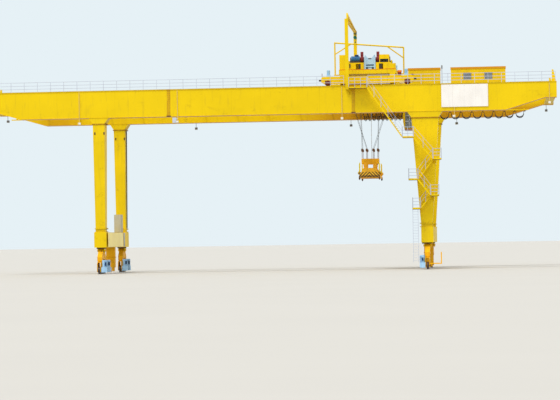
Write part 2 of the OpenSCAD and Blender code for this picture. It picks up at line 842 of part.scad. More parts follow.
// Winch stands, drum pedestals and the rain cover over the right motor
module machinery_base() {
    front = winch_y + 360;
    back = winch_y - 360;
    pedestal_x = drum_length / 2 + 70;
    stand_x = 1180;
    cover_x = [545, 1100];
    cover_z = winch_h + 205;
    color(crane_yellow)
    translate([0, 0, deck_top]) {
        translate([winch_x, 0, 0]) {
            slab([-stand_x, -back - 140, 0], [stand_x, -back, stand_h]);
            difference() {
                slab([-stand_x, -front, 0], [stand_x, -front + 140, stand_h]);
                slab([-gearbox_gap, -front - 1, -1], [gearbox_gap, -front + 141, stand_h + 1]);
                for (gap = [[-800, -520], [520, 760]])
                    slab([gap[0], -front - 1, 60], [gap[1], -front + 141, stand_h - 70]);
            }
            for (x = [-stand_x, -620, 470, stand_x - 150])
                slab([x, -front, stand_h - 60], [x + 150, -back, stand_h]);
            slab([cover_x[0], -front, cover_z], [cover_x[1], -back, cover_z + 25]);
            slab([cover_x[0], -front, cover_z - 225], [cover_x[1], -front + 20, cover_z]);
            for (x = [cover_x[0], cover_x[1] - 40], y = [-front, -back - 40])
                slab([x, y, stand_h], [x + 40, y + 40, cover_z]);
        }
        for (s = [-1, 1])
            difference() {
                translate([trolley_x, 0, 0])
                    plate_yz([[-260, 0], [260, 0], [120, drum_z - deck_top + 110],
                              [-120, drum_z - deck_top + 110]],
                             s * pedestal_x - 40, s * pedestal_x + 40);
                translate([trolley_x + s * pedestal_x - 50, 0, drum_z - deck_top])
                    rotate([0, 90, 0]) cylinder(r = 60 + play, h = 100, $fn = 48);
            }
    }
}

// Grooved hoist drum with its end flanges and shaft
module hoist_drum() {
    half = drum_length / 2;
    color(dark_grey)
    translate([trolley_x, 0, drum_z])
        rotate([0, 90, 0])
            rotate_extrude($fn = 96)
                polygon([[0, -half - 130], [60, -half - 130], [60, -half], [drum_r + 60, -half],
                         [drum_r + 60, -half + 30], [drum_r, -half + 30], [drum_r, half - 30],
                         [drum_r + 60, half - 30], [drum_r + 60, half], [60, half],
                         [60, half + 130], [0, half + 130]]);
}

// Hoist gearbox between the two motors, its lid dipped in the middle
module hoist_gearbox() {
    color([0.55, 0.68, 0.78])
    translate([winch_x, -winch_y, deck_top])
        plate_xz([[-325, 0], [325, 0], [325, 720], [270, 950], [60, 680], [-60, 680],
                  [-270, 950], [-325, 720]], -355, 180);
}

// Hoist motors on both sides, shafts along the girders
module hoist_motors() {
    motor_r = 180;
    color(motor_blue)
    for (s = [-1, 1])
        translate([winch_x + s * 585, -winch_y, deck_top + stand_h]) {
            translate([0, 0, winch_h - stand_h])
                rotate([0, s * 90, 0]) cylinder(r = motor_r, h = 490, $fn = 48);
            slab([min(0, s * 480), -150, 0], [max(0, s * 480), 150, winch_h - stand_h - 60]);
        }
}

// Brakes on the shafts between the gearbox and the motors, each with its round-headed lifter
module hoist_brakes() {
    color(brake_red)
    for (s = [-1, 1])
        translate([winch_x + s * 325, -winch_y, deck_top + winch_h]) {
            rotate([0, s * 90, 0]) cylinder(r = 120, h = 260, $fn = 48);
            translate([s * 60, 0, 0])
                rotate([0, s * 90, 0]) cylinder(r = 200, h = 140, $fn = 48);
            slab([min(s * 50, s * 210), -70, 0], [max(s * 50, s * 210), 70, 360]);
            translate([s * 50, 0, 360])
                rotate([0, s * 90, 0]) cylinder(r = 70, h = 160, $fn = 32);
        }
}

// Upright travel motors on the side beams
module travel_motors() {
    color(motor_blue)
    for (x = [-trolley_base / 2 + 30, trolley_base / 2 - 65], sy = [-1, 1])
        translate([trolley_x + x, sy * rail_y, side_beam_top]) {
            slab([-100, -100, 0], [100, 100, 120]);
            translate([0, 0, 120]) cylinder(r = 88, h = 250, $fn = 40);
        }
    translate([trolley_x + deck_half - 70, -900, deck_top])
        cylinder(r = 60, h = 360, $fn = 40);
}

// Switch cabinets at both ends of the deck
module trolley_cabinets() {
    left = -deck_half + 10;
    front = rail_y - 285;
    color(crane_yellow)
    translate([trolley_x, 0, deck_top]) {
        for (y = [-front, front - 700])
            slab([left, y, 0], [left + 400, y + 700, 855]);
        slab([deck_half - 640, -front - 200, 0], [deck_half - 20, -front + 300, 320]);
    }
}

// Pipe portal over the machinery, its top falling to one side, with knee braces
module pipe_frame() {
    left = -deck_half - 433;
    right = deck_half + 325;
    top_left = deck_top + 1793;
    top_right = deck_top + 1447;
    pipe = 42;
    brace = 940;
    slope = (top_right - top_left) / (right - left);
    color(crane_yellow)
    translate([trolley_x, 0, 0]) {
        rod([left, 0, deck_top - 60], [left, 0, top_left], pipe);
        rod([right, 0, deck_top - 60], [right, 0, top_right], pipe);
        rod([left - 30, 0, top_left - slope * 30], [right + 30, 0, top_right + slope * 30], pipe);
        rod([left, 0, top_left - 660], [left + brace, 0, top_left + slope * brace], pipe * 0.8);
        rod([right, 0, top_right - 610], [right - brace, 0, top_right - slope * brace], pipe * 0.8);
        slab([left - 60, -60, deck_top - 100], [-deck_half, 60, deck_top - 40]);
        slab([deck_half, -60, deck_top - 100], [right + 60, 60, deck_top - 40]);
    }
}

// Outline of the cabin in X and Z, drawn in by a margin
function cabin_outline(in) = [
    [cabin_x[0] + 90 + in, cabin_z[0] + in], [cabin_x[1] - in, cabin_z[0] + in],
    [cabin_x[1] - in, cabin_z[1] - in], [cabin_x[0] + in, cabin_z[1] - in],
    [cabin_x[0] + in, cabin_z[0] + cabin_knee],
];

// Cabin shell hung under the trolley's right end, open for its windows
module operator_cabin() {
    wall = 30;
    hang_x = [cabin_x[0] + 80, cabin_x[0] + 530];
    y = cabin_half - 60;
    color([0.75, 0.6, 0.2])
    translate([trolley_x, 0, 0]) {
        difference() {
            plate_xz(cabin_outline(0), -cabin_half, cabin_half);
            plate_xz(cabin_outline(wall), -cabin_half + wall, cabin_half - wall);
            slab([cabin_x[0] - 1, -cabin_half + cabin_frame, cabin_z[0] + cabin_frame],
                 [cabin_x[0] + 200, cabin_half - cabin_frame, cabin_z[1] - cabin_frame]);
            slab([cabin_x[0] + 120, -cabin_half - 1, cabin_z[0] + cabin_sill],
                 [cabin_x[1] - cabin_frame, cabin_half + 1, cabin_z[1] - cabin_frame]);
        }
        for (x = hang_x, s = [-1, 1])
            slab([x, s * y - 40, cabin_z[1]], [x + 80, s * y + 40, girder_top + 60]);
        for (s = [-1, 1])
            slab([cross_x + cross_w / 2, s * y - 50, girder_top + 60],
                 [hang_x[1] + 120, s * y + 50, girder_top + 220]);
    }
}

// Panes in the cabin's front and sides
module cabin_glazing() {
    pane = 10;
    color([0.4, 0.45, 0.5])
    translate([trolley_x, 0, 0]) {
        for (s = [-1, 1])
            translate([0, s * (cabin_half - 15), 0])
                slab([cabin_x[0] + 120, -pane / 2, cabin_z[0] + cabin_sill],
                     [cabin_x[1] - cabin_frame, pane / 2, cabin_z[1] - cabin_frame]);
        intersection() {
            difference() {
                plate_xz(cabin_outline(8), -cabin_half + cabin_frame, cabin_half - cabin_frame);
                plate_xz(cabin_outline(8 + pane), -cabin_half, cabin_half);
            }
            slab([cabin_x[0] - 1, -cabin_half, cabin_z[0] + cabin_frame],
                 [cabin_x[0] + 100, cabin_half, cabin_z[1] - cabin_frame]);
        }
    }
}

// Rope between two level faces, its tilted ends just clear of them
module rope(from, to) {
    d = to - from;
    lift = rope_r * norm([d[0], d[1]]) / norm(d) + play;
    rod(from + d * lift / abs(d[2]), to - d * lift / abs(d[2]), rope_r, 10);
}

// Hoist ropes from the drum and the slanting ropes that keep the load still
module hoist_ropes() {
    low = rod_top + 40;
    color(dark_grey)
    for (sx = [-1, 1], sy = [-1, 1]) {
        rope([load_x + sx * 960, sy * (drum_r + rope_r + play), drum_z],
             [load_x + sx * (headblock_half - 36), sy * 480, low]);
        rope([trolley_x + sx * (cross_x - 110), sy * 500, girder_top + 20],
             [load_x + sx * 190, sy * 500, low]);
    }
}

// Headblock: a frame with eight rope blocks on rods
module headblock() {
    block_top = rod_top + 40;
    color(deep_yellow)
    translate([load_x, 0, 0]) {
        difference() {
            slab([-headblock_half, -headblock_reach, head_z], [headblock_half, headblock_reach, head_top]);
            slab([-headblock_half + 150, -headblock_reach + 150, head_z - 1],
                 [headblock_half - 150, headblock_reach - 150, head_top + 1]);
        }
        for (sx = [-1, 1], sy = [-1, 1]) {
            for (x = [headblock_half - 36, 190]) {
                rod([sx * x, sy * (headblock_reach - 75), head_top - 5],
                    [sx * x, sy * (headblock_reach - 75), rod_top - 100], 14);
                slab([sx * x - 35, sy * (headblock_reach - 120) - 70, rod_top - 120],
                     [sx * x + 35, sy * (headblock_reach - 120) + 70, block_top]);
            }
        }
    }
}

// Spreader: centre box, flared end frames, neck under the headblock, flipper brackets
module spreader_frame() {
    reach = spreader_length / 2;
    top_z = waist_z - 60;
    flare = [[-spreader_half, frame_z], [spreader_half, frame_z], [spreader_half, frame_z + 60],
             [waist_half, top_z], [-waist_half, top_z], [-spreader_half, frame_z + 60]];
    color(deep_yellow)
    translate([load_x, 0, 0])
    difference() {
        union() {
            slab([-230, -reach + 60, frame_z + 120], [230, reach - 60, frame_z + 450]);
            for (s = [-1, 1]) {
                translate([0, s * (reach - 60), 0]) plate_xz(flare, -60, 60);
                slab([s * (spreader_half - 60) - 45, -reach + 60, frame_z],
                     [s * (spreader_half - 60) + 45, reach - 60, frame_z + 110]);
                translate([0, s * (headblock_reach - 75), 0])
                    plate_xz([[-spreader_half + 20, frame_z], [spreader_half - 20, frame_z],
                              [waist_half, waist_z], [headblock_half - 90, head_z],
                              [-headblock_half + 90, head_z], [-waist_half, waist_z]], -75, 75);
            }
            for (sx = [-1, 1], sy = [-1, 1], t = [-1, 1])
                translate([0, sy * flipper_y + t * (flipper_w / 2 + 22), 0])
                    plate_xz([[sx * 300, frame_z + 100], [sx * 300, flipper_z + 50],
                              [sx * (flipper_x + 40), flipper_z + 40],
                              [sx * (flipper_x + 40), flipper_z - 40],
                              [sx * spreader_half * 0.9, frame_z + 100]], -12, 12);
        }
        for (s = [-1, 1])
            translate([0, s * (headblock_reach - 75), 0])
                slab([-170, -80, waist_z - 20], [170, 80, head_z - 20]);
        for (sx = [-1, 1])
            translate([sx * flipper_x, -reach, flipper_z])
                rotate([-90, 0, 0]) cylinder(r = flipper_pin_r + play, h = 2 * reach, $fn = 40);
    }
}

// Dark corner housings with the locks that take hold of a container
module corner_locks() {
    reach = spreader_length / 2;
    color([0.3, 0.2, 0.1])
    translate([load_x, 0, 0])
    for (sx = [-1, 1], sy = [-1, 1])
        translate([sx * (spreader_half - lock_inset[0]), sy * (reach - lock_inset[1]), 0]) {
            slab([-lock_inset[0], -lock_inset[1], frame_z - 90], [lock_inset[0], lock_inset[1], frame_z]);
            translate([0, 0, spreader_bottom]) cylinder(r = 28, h = 41, $fn = 32);
        }
}

// Guide arms of one long side, cranked so that they hang outside when they are let down
module flipper_pair(side) {
    color([0.98, 0.9, 0.1])
    translate([load_x, 0, 0])
    mirror([side < 0 ? 1 : 0, 0, 0])
    for (s = [-1, 1])
        translate([flipper_x, s * flipper_y, flipper_z]) {
            plate_xz([[-34, -20], [30, -30], [34, 30], [-26, 120], [-28, 520],
                      [-70, 600], [-96, 590], [-96, 90]], -flipper_w / 2 + 2, flipper_w / 2 - 2);
            rotate([-90, 0, 0])
                translate([0, 0, -flipper_w / 2 - 40])
                    cylinder(r = flipper_pin_r, h = flipper_w + 80, $fn = 40);
        }
}

front_girder();
rear_girder();
end_ties();
trolley_rails();
end_stops();
left_legs();
right_legs();
sill_beams();
sill_cabinet();
equalizer_beams();
wheel_trucks();
gantry_wheels();
gantry_drives();
girder_railings();
stair_landings();
stair_flights();
stair_railings();
leg_ladder();
sign_plate();
floodlights();
house_platform();
electrical_houses();
service_gantry();
service_hoist();
festoon_track();
festoon_cable();
trolley_side_beams();
trolley_buffers();
trolley_deck();
trolley_wheel_pair(-1);  // left_trolley_wheels
trolley_wheel_pair(1);  // right_trolley_wheels
machinery_base();
hoist_drum();
hoist_gearbox();
hoist_motors();
hoist_brakes();
travel_motors();
trolley_cabinets();
pipe_frame();
operator_cabin();
cabin_glazing();
hoist_ropes();
headblock();
spreader_frame();
corner_locks();
flipper_pair(-1);  // left_flippers
flipper_pair(1);  // right_flippers
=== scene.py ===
"""Looks of the gantry crane: finishes for the CAD nodes, small pieces, ropes, festoon cable, glass and the stage."""

import math

import bmesh
import bpy
from mathutils import Matrix, Vector


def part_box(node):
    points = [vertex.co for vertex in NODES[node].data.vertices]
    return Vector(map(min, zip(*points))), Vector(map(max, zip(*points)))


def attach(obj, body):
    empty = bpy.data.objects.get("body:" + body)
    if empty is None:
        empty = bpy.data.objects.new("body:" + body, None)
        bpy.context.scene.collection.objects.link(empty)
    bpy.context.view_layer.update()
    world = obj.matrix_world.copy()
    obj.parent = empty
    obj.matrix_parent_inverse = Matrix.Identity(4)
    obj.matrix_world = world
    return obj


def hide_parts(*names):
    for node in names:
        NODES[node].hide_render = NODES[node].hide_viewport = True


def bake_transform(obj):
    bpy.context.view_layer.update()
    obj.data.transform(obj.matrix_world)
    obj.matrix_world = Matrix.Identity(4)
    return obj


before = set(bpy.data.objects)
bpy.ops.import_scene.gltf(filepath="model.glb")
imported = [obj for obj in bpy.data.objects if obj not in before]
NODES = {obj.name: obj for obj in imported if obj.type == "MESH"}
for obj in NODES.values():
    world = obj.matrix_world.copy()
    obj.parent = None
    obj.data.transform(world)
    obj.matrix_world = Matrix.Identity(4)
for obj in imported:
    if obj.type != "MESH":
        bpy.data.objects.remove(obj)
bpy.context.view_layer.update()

bl_info = {
    "name": "Gantry Crane Looks",
    "version": (1, 0, 0),
    "blender": (4, 5, 0),
    "location": "3D View > Sidebar > Gantry Crane",
    "description": "Finishes, fasteners, ropes and stage for the half-size gantry crane",
    "category": "Object",
}

SIDES = (-1, 1)
CORNERS = [(sx, sy) for sx in SIDES for sy in SIDES]


def low(node):
    """Lowest corner of a CAD node at rest."""
    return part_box(node)[0]


def high(node):
    """Highest corner of a CAD node at rest."""
    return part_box(node)[1]


def middle(node):
    """Centre of a CAD node's box at rest."""
    return (low(node) + high(node)) / 2


TROLLEY_X = middle("trolley_deck").x
LOAD_X = middle("headblock").x
GIRDER_TOP = low("trolley_rails").z
GIRDER_BOTTOM = low("front_girder").z
OUTER_Y = high("rear_girder").y
INNER_Y = low("rear_girder").y
GIRDER_Y = (OUTER_Y + INNER_Y) / 2
LEG_X = middle("right_legs").x
SILL_TOP = high("sill_beams").z
ROPE_BLOCK_TOP = high("headblock").z
DRUM = middle("hoist_drum")

# Sizes that repeat the CAD's own, in metres
SPLICE_X = 5.2
FLANGE_LIP = 0.03
SPLICE_BAND = 0.008
HEAD_Z = GIRDER_BOTTOM - 0.33
SILL_DEPTH = 0.85
HOUSE_X = LEG_X + 1.325
TAPER_DROP = 0.875


def tint(red, green, blue):
    """Linear colour of an 8-bit screen colour."""
    def channel(value):
        value /= 255
        return value / 12.92 if value <= 0.04045 else ((value + 0.055) / 1.055) ** 2.4

    return (channel(red), channel(green), channel(blue), 1.0)


def colour_property(name, description, colour):
    """A colour that a user may change."""
    return bpy.props.FloatVectorProperty(
        name=name, description=description, default=colour[:3], size=3, min=0, max=1, subtype="COLOR"
    )


def length_property(name, description, default, smallest, largest):
    """A length in metres that a user may change."""
    return bpy.props.FloatProperty(
        name=name, description=description, default=default, min=smallest, max=largest, unit="LENGTH"
    )


class CraneColours(bpy.types.PropertyGroup):
    """Paint colours of the crane."""

    steelwork: colour_property("Steelwork", "Paint of the girders, legs and trolley", tint(233, 201, 2))
    bogies: colour_property("Bogies", "Paint of the travel bogies", tint(240, 178, 8))
    houses: colour_property("Houses", "Paint of the electrical houses", tint(232, 198, 8))
    spreader: colour_property("Spreader", "Paint of the headblock and spreader", tint(252, 188, 30))
    guides: colour_property("Guide arms", "Paint of the spreader's guide arms", tint(246, 228, 24))
    railings: colour_property("Railings", "Paint of the railings and the ladder", tint(190, 199, 216))
    motors: colour_property("Motors", "Paint of the motors", tint(168, 212, 250))
    gearbox: colour_property("Gearbox", "Paint of the hoist gearbox", tint(166, 206, 255))
    winch_motors: colour_property("Winch motors", "Paint of the two hoist motors", tint(54, 116, 168))
    brakes: colour_property("Brakes", "Paint of the drum brakes and the trolley wheels", tint(126, 46, 52))


class CraneDetails(bpy.types.PropertyGroup):
    """Sizes of the small pieces."""

    bolt_radius: length_property("Bolt radius", "Corner radius of a bolt head", 0.016, 0.004, 0.04)
    bolt_spacing: length_property("Bolt spacing", "Distance from bolt to bolt", 0.11, 0.05, 0.4)
    fin_spacing: length_property("Fin spacing", "Distance between the cooling fins of a motor", 0.03, 0.01, 0.1)
    rope_radius: length_property("Rope radius", "Radius of a wire rope", 0.009, 0.004, 0.02)
    bar_spacing: length_property("Window bar spacing", "Distance between the bars of a window", 0.062, 0.03, 0.2)


class CraneStage(bpy.types.PropertyGroup):
    """Light and floor."""

    sun: bpy.props.FloatProperty(name="Key light", description="Strength of the soft key light", default=2.05, min=0)
    sky: bpy.props.FloatProperty(
        name="Sky", description="Strength of the even light from all round", default=0.98, min=0
    )
    floor: colour_property("Floor", "Colour of the floor", tint(190, 190, 188))


def feed(tree, socket, value):
    """Links a node's output to a socket, or sets the socket's own value."""
    if isinstance(value, Wire):
        value = value.socket
    if isinstance(value, bpy.types.NodeSocket):
        tree.links.new(value, socket)
    elif value is not None:
        socket.default_value = value


def add_node(tree, kind, settings, *values, **named):
    """Adds a node: settings first, then the values or links of its sockets, in order or by name."""
    made = tree.nodes.new(kind)
    for key, value in settings.items():
        setattr(made, key, value)
    pairs = list(zip(made.inputs, values)) + [(made.inputs[k.replace("_", " ")], v) for k, v in named.items()]
    for socket, value in pairs:
        feed(tree, socket, value)
    return made


class Wire:
    """A number in a material's tree, with arithmetic that adds Math nodes."""

    def __init__(self, finish, socket):
        self.finish, self.socket = finish, socket

    def _math(self, operation, *values):
        node = self.finish.node("ShaderNodeMath", {"operation": operation}, *values)
        return Wire(self.finish, node.outputs[0])

    def __add__(self, other):
        return self._math("ADD", self, other)

    __radd__ = __add__

    def __sub__(self, other):
        return self._math("SUBTRACT", self, other)

    def __rsub__(self, other):
        return self._math("SUBTRACT", other, self)

    def __mul__(self, other):
        return self._math("MULTIPLY", self, other)

    __rmul__ = __mul__

    def __truediv__(self, other):
        return self._math("DIVIDE", self, other)

    def sine(self):
        return self._math("SINE", self)

    def size(self):
        return self._math("ABSOLUTE", self)

    def share(self):
        return self._math("FRACT", self)

    def ramp(self, start, end):
        """0 below start, 1 above end and even between them."""
        node = self.finish.node("ShaderNodeMapRange", {"clamp": True}, self, start, end, 0.0, 1.0)
        return Wire(self.finish, node.outputs[0])


class Finish:
    """One material and the nodes that make it."""

    def __init__(self, name):
        self.material = bpy.data.materials.new(name)
        self.material.use_nodes = True
        self.tree = self.material.node_tree
        self.tree.nodes.clear()
        self.shader = self.node("ShaderNodeBsdfPrincipled", {})
        out = self.node("ShaderNodeOutputMaterial", {})
        self.tree.links.new(self.shader.outputs[0], out.inputs["Surface"])
        self.place = self.node("ShaderNodeTexCoord", {}).outputs["Object"]

    def node(self, kind, settings, *values, **named):
        """Adds a node to the material's tree."""
        return add_node(self.tree, kind, settings, *values, **named)

    def stretched(self, scale):
        """The place on the object, scaled along each axis."""
        return self.node("ShaderNodeMapping", {}, self.place, Scale=scale).outputs[0]

    def axis(self, name):
        """The place on the object along one axis."""
        return Wire(self, self.node("ShaderNodeSeparateXYZ", {}, self.place).outputs[name])

    def underside(self):
        """1 on faces that look down, 0 on upright ones."""
        facing = self.node("ShaderNodeNewGeometry", {}).outputs["Normal"]
        return (Wire(self, self.node("ShaderNodeSeparateXYZ", {}, facing).outputs["Z"]) * -1.0).ramp(0.5, 0.9)

    def noise(self, place, scale, detail=3.0, roughness=0.55):
        made = self.node("ShaderNodeTexNoise", {}, Vector=place, Scale=scale, Detail=detail, Roughness=roughness)
        return Wire(self, made.outputs[0])

    def mix(self, first, second, factor):
        """A colour between two colours."""
        made = self.node("ShaderNodeMix", {"data_type": "RGBA", "clamp_factor": True}, factor)
        feed(self.tree, made.inputs[6], first)
        feed(self.tree, made.inputs[7], second)
        return made.outputs[2]

    def bump(self, height, distance, strength):
        made = self.node("ShaderNodeBump", {}, Strength=strength, Distance=distance, Height=height)
        self.set(Normal=made.outputs[0])

    def set(self, **values):
        for name, value in values.items():
            feed(self.tree, self.shader.inputs[name.replace("_", " ")], value)


def rgba(colour):
    """A colour with full alpha."""
    return tuple(colour[:3]) + (1.0,)


def shade(colour, factor):
    """A darker or lighter colour."""
    return rgba([min(1.0, c * factor) for c in colour[:3]])


RUST = tint(118, 66, 34)
# Dark grime of runs and dust, also the colour of the painted shade on faces that look down
GRIME_AND_SHADE = tint(92, 76, 52)
# Orange of the girders' painted shade, also the colour of the stains at the splices
SHADE_AND_STAIN = tint(180, 112, 14)
PAINT_SHEEN = 0.16


def painted_steel(name, colour, dirt, rust, rough=0.42, above=None, joint=None):
    """Weathered paint: faded in broad clouds, with dirt that runs down, small rust spots, painted shade on faces that
    look down and a fine uneven surface.

    above is a height and the colour from there up. joint is the height of a rusty flange joint; with it, faces that
    look down also get a dark brown painted shade.
    """
    f = Finish(name)
    clouds = f.noise(f.place, 0.55, 4.0)
    runs = f.noise(f.stretched((7.0, 7.0, 0.55)), 1.0, 5.0, 0.6)
    spots = f.noise(f.place, 9.0, 6.0, 0.65)
    grain = f.noise(f.place, 65.0, 2.0)
    patches = f.noise(f.place, 1.7, 5.0, 0.6)
    base = f.mix(shade(colour, 0.9), shade(colour, 1.06), clouds.ramp(0.3, 0.7))
    run_mask = runs.ramp(0.5, 0.78) * (0.75 * dirt)
    base = f.mix(base, GRIME_AND_SHADE, run_mask * 0.8)
    base = f.mix(base, shade(colour, 0.7), patches.ramp(0.56, 0.74) * (0.6 * dirt))
    rust_mask = (spots * patches.ramp(0.4, 0.62)).ramp(0.5, 0.6) * rust
    base = f.mix(base, RUST, rust_mask)
    # Painted shade: faces that look down are darkened towards the grime colour
    base = f.mix(base, GRIME_AND_SHADE, f.underside() * (0.5 * dirt))
    if joint:
        near = 1.0 - (f.axis("Z") - joint).size().ramp(0.022, 0.05)
        base = f.mix(base, tint(150, 84, 22), near * spots.ramp(0.3, 0.5) * 0.75)
        # Painted shade: faces that look down turn dark brown
        base = f.mix(base, tint(112, 70, 24), f.underside() * 0.7)
    if above:
        base = f.mix(base, above[1], f.axis("Z").ramp(above[0] - 0.005, above[0]) * 0.9)
    roughness = rough + grain * 0.08 + run_mask * 0.25 + rust_mask * 0.3
    f.set(Base_Color=base, Roughness=roughness, Specular_IOR_Level=PAINT_SHEEN)
    f.bump(grain * 0.35 + spots * 0.65 + rust_mask * 0.8, 0.0025, 0.6)
    return f.material


def girder_paint(name, colour, painted_shade=0.0):
    """Girder paint: weathered, with the upright weld seams of the web plates and painted shade on faces that look
    down.

    The third argument paints the shade that the trolley and the front girder cast on the low inner face: faint all
    along, strong from x = 4 m rightwards and round x = -12.8 m. Without it the splices are stained.
    """
    f = Finish(name)
    clouds = f.noise(f.place, 0.4, 4.0)
    runs = f.noise(f.stretched((5.0, 5.0, 0.8)), 1.0, 5.0, 0.62)
    spots = f.noise(f.place, 8.0, 6.0, 0.65)
    grain = f.noise(f.place, 60.0, 2.0)
    patches = f.noise(f.stretched((0.7, 1.0, 1.6)), 1.3, 5.0, 0.6)
    panel = f.axis("X") / 1.65 + 0.5
    seam = 1.0 - (panel.share() - 0.5).size().ramp(0.0, 0.007)
    base = f.mix(shade(colour, 0.93), shade(colour, 1.05), clouds.ramp(0.3, 0.7))
    run_mask = runs.ramp(0.54, 0.8) * 0.24
    base = f.mix(base, GRIME_AND_SHADE, run_mask)
    base = f.mix(base, shade(colour, 0.76), patches.ramp(0.55, 0.74) * 0.22)
    rust_mask = (spots * patches.ramp(0.42, 0.64)).ramp(0.5, 0.6) * 0.12
    base = f.mix(base, RUST, rust_mask)
    base = f.mix(base, shade(colour, 0.6), seam * 0.35)
    # Painted shade: faces that look down turn orange
    base = f.mix(base, SHADE_AND_STAIN, f.underside() * 0.75)
    if painted_shade:
        # Painted shade of the trolley and the front girder on the low inner face
        inner = 1.0 - f.axis("Y").ramp(INNER_Y + 0.05, INNER_Y + 0.1)
        edge = 1.0 - f.axis("Z").ramp(GIRDER_BOTTOM + 0.4, GIRDER_BOTTOM + 0.9)
        right_shade = f.axis("X").ramp(1.0, 4.0) * 0.85
        left_end_shade = (1.0 - (f.axis("X") + 12.8).size().ramp(0.4, 1.8)) * 0.6
        base = f.mix(base, SHADE_AND_STAIN, inner * edge * (right_shade + left_end_shade + 0.12) * painted_shade)
    else:
        splice = 1.0 - (f.axis("X").size() - SPLICE_X).size().ramp(0.08, 0.12)
        base = f.mix(base, SHADE_AND_STAIN, splice * runs.ramp(0.3, 0.5) * 0.5)
    f.set(Base_Color=base, Roughness=0.42 + grain * 0.08 + run_mask * 0.3, Specular_IOR_Level=PAINT_SHEEN)
    f.bump(spots * 0.5 + seam * 1.6 + grain * 0.3, 0.003, 0.6)
    return f.material


def worn_steel(name, colour, rust, metal, rough):
    """Bare steel with brown rust in patches and brighter worn places."""
    f = Finish(name)
    patches = f.noise(f.place, 6.0, 6.0, 0.65)
    grain = f.noise(f.place, 90.0, 3.0)
    mask = patches.ramp(0.42, 0.66) * rust
    base = f.mix(colour, RUST, mask)
    f.set(Base_Color=base, Metallic=metal - mask * metal, Roughness=rough + mask * 0.35 + grain * 0.12)
    f.bump(grain * 0.5 + patches * 0.8, 0.002, 0.7)
    return f.material


def striped_paint(name, colour, stripe):
    """Spreader paint: grimy, with slanting dark stripes on the low edges of the two end frames."""
    f = Finish(name)
    runs = f.noise(f.stretched((6.0, 6.0, 1.2)), 1.0, 5.0, 0.6)
    spots = f.noise(f.place, 9.0, 6.0, 0.65)
    grain = f.noise(f.place, 65.0, 2.0)
    base = f.mix(shade(colour, 0.88), shade(colour, 1.1), spots.ramp(0.3, 0.7))
    base = f.mix(base, GRIME_AND_SHADE, runs.ramp(0.52, 0.78) * 0.5)
    low_edge, end_y = low("spreader_frame").z, high("spreader_frame").y
    slant = ((f.axis("X") - LOAD_X).size() + f.axis("Z")) * 5.6
    painted = (slant.share() - 0.5).size().ramp(0.22, 0.28)
    near_edge = 1.0 - f.axis("Z").ramp(low_edge + 0.3, low_edge + 0.34)
    near_end = f.axis("Y").size().ramp(end_y - 0.14, end_y - 0.12)
    corners = (f.axis("X") - LOAD_X).size().ramp(0.52, 0.62) * near_edge
    base = f.mix(base, tint(255, 204, 44), near_edge * near_end * 0.75)
    base = f.mix(base, stripe, painted * near_edge * near_end * 0.92)
    base = f.mix(base, stripe, corners * near_end * 0.5)
    base = f.mix(base, stripe, near_end * (1.0 - f.axis("Z").ramp(low_edge + 0.1, low_edge + 0.16)) * 0.7)
    f.set(Base_Color=base, Roughness=0.48 + grain * 0.1, Specular_IOR_Level=0.4)
    f.bump(grain * 0.35 + spots * 0.8, 0.0025, 0.6)
    return f.material


def lamp_pipe_paint(name, front, rear):
    """Floodlight paint: dusty, in one colour on the front girder and another on the rear one."""
    f = Finish(name)
    grain = f.noise(f.place, 60.0, 2.0)
    patches = f.noise(f.place, 4.0, 4.0)
    base = f.mix(front, rear, f.axis("Y").ramp(-0.1, 0.1))
    base = f.mix(base, GRIME_AND_SHADE, patches.ramp(0.55, 0.8) * 0.4)
    f.set(Base_Color=base, Roughness=0.5 + grain * 0.1, Specular_IOR_Level=0.3)
    f.bump(grain, 0.001, 0.4)
    return f.material


def rubber(name, colour):
    """Matt dark rubber or paint, dusty in places."""
    f = Finish(name)
    dust = f.noise(f.place, 5.0, 4.0).ramp(0.45, 0.75)
    grain = f.noise(f.place, 120.0, 2.0)
    f.set(Base_Color=f.mix(colour, tint(96, 90, 80), dust * 0.35), Roughness=0.62 + dust * 0.2)
    f.bump(grain, 0.001, 0.5)
    return f.material


def wire_rope(name):
    """Greased wire rope: strands wind round it along its own UV map."""
    f = Finish(name)
    uv = f.node("ShaderNodeUVMap", {"uv_map": "UVMap"}).outputs[0]
    parts = f.node("ShaderNodeSeparateXYZ", {}, uv)
    strand = ((Wire(f, parts.outputs["X"]) * 6.0 + Wire(f, parts.outputs["Y"]) * 40.0) * math.tau).sine() * 0.5 + 0.5
    grease = f.noise(f.place, 12.0, 3.0)
    base = f.mix(tint(40, 38, 36), tint(126, 124, 122), strand * 0.7)
    base = f.mix(base, tint(30, 26, 20), grease.ramp(0.5, 0.7) * 0.5)
    f.set(Base_Color=base, Metallic=0.6, Roughness=0.4 + grease * 0.3)
    f.bump(strand, 0.003, 0.8)
    return f.material


def tinted_glass(name, colour, alpha):
    """Grey window glass, a little dusty."""
    f = Finish(name)
    dust = f.noise(f.place, 2.5, 5.0).ramp(0.4, 0.8)
    base = f.mix(colour, tint(186, 184, 176), dust * 0.25)
    f.set(Base_Color=base, Roughness=0.06 + dust * 0.2, Specular_IOR_Level=0.8, Alpha=alpha + dust * 0.1)
    f.material.surface_render_method = "DITHERED"
    return f.material


def lamp_glass(name):
    """White ribbed glass of a floodlight."""
    f = Finish(name)
    ribs = (f.axis("X") * 260.0).sine() * 0.5 + 0.5
    f.set(Base_Color=f.mix(tint(236, 238, 240), tint(206, 212, 218), ribs * 0.5), Roughness=0.15 + ribs * 0.1)
    f.bump(ribs, 0.002, 0.5)
    return f.material


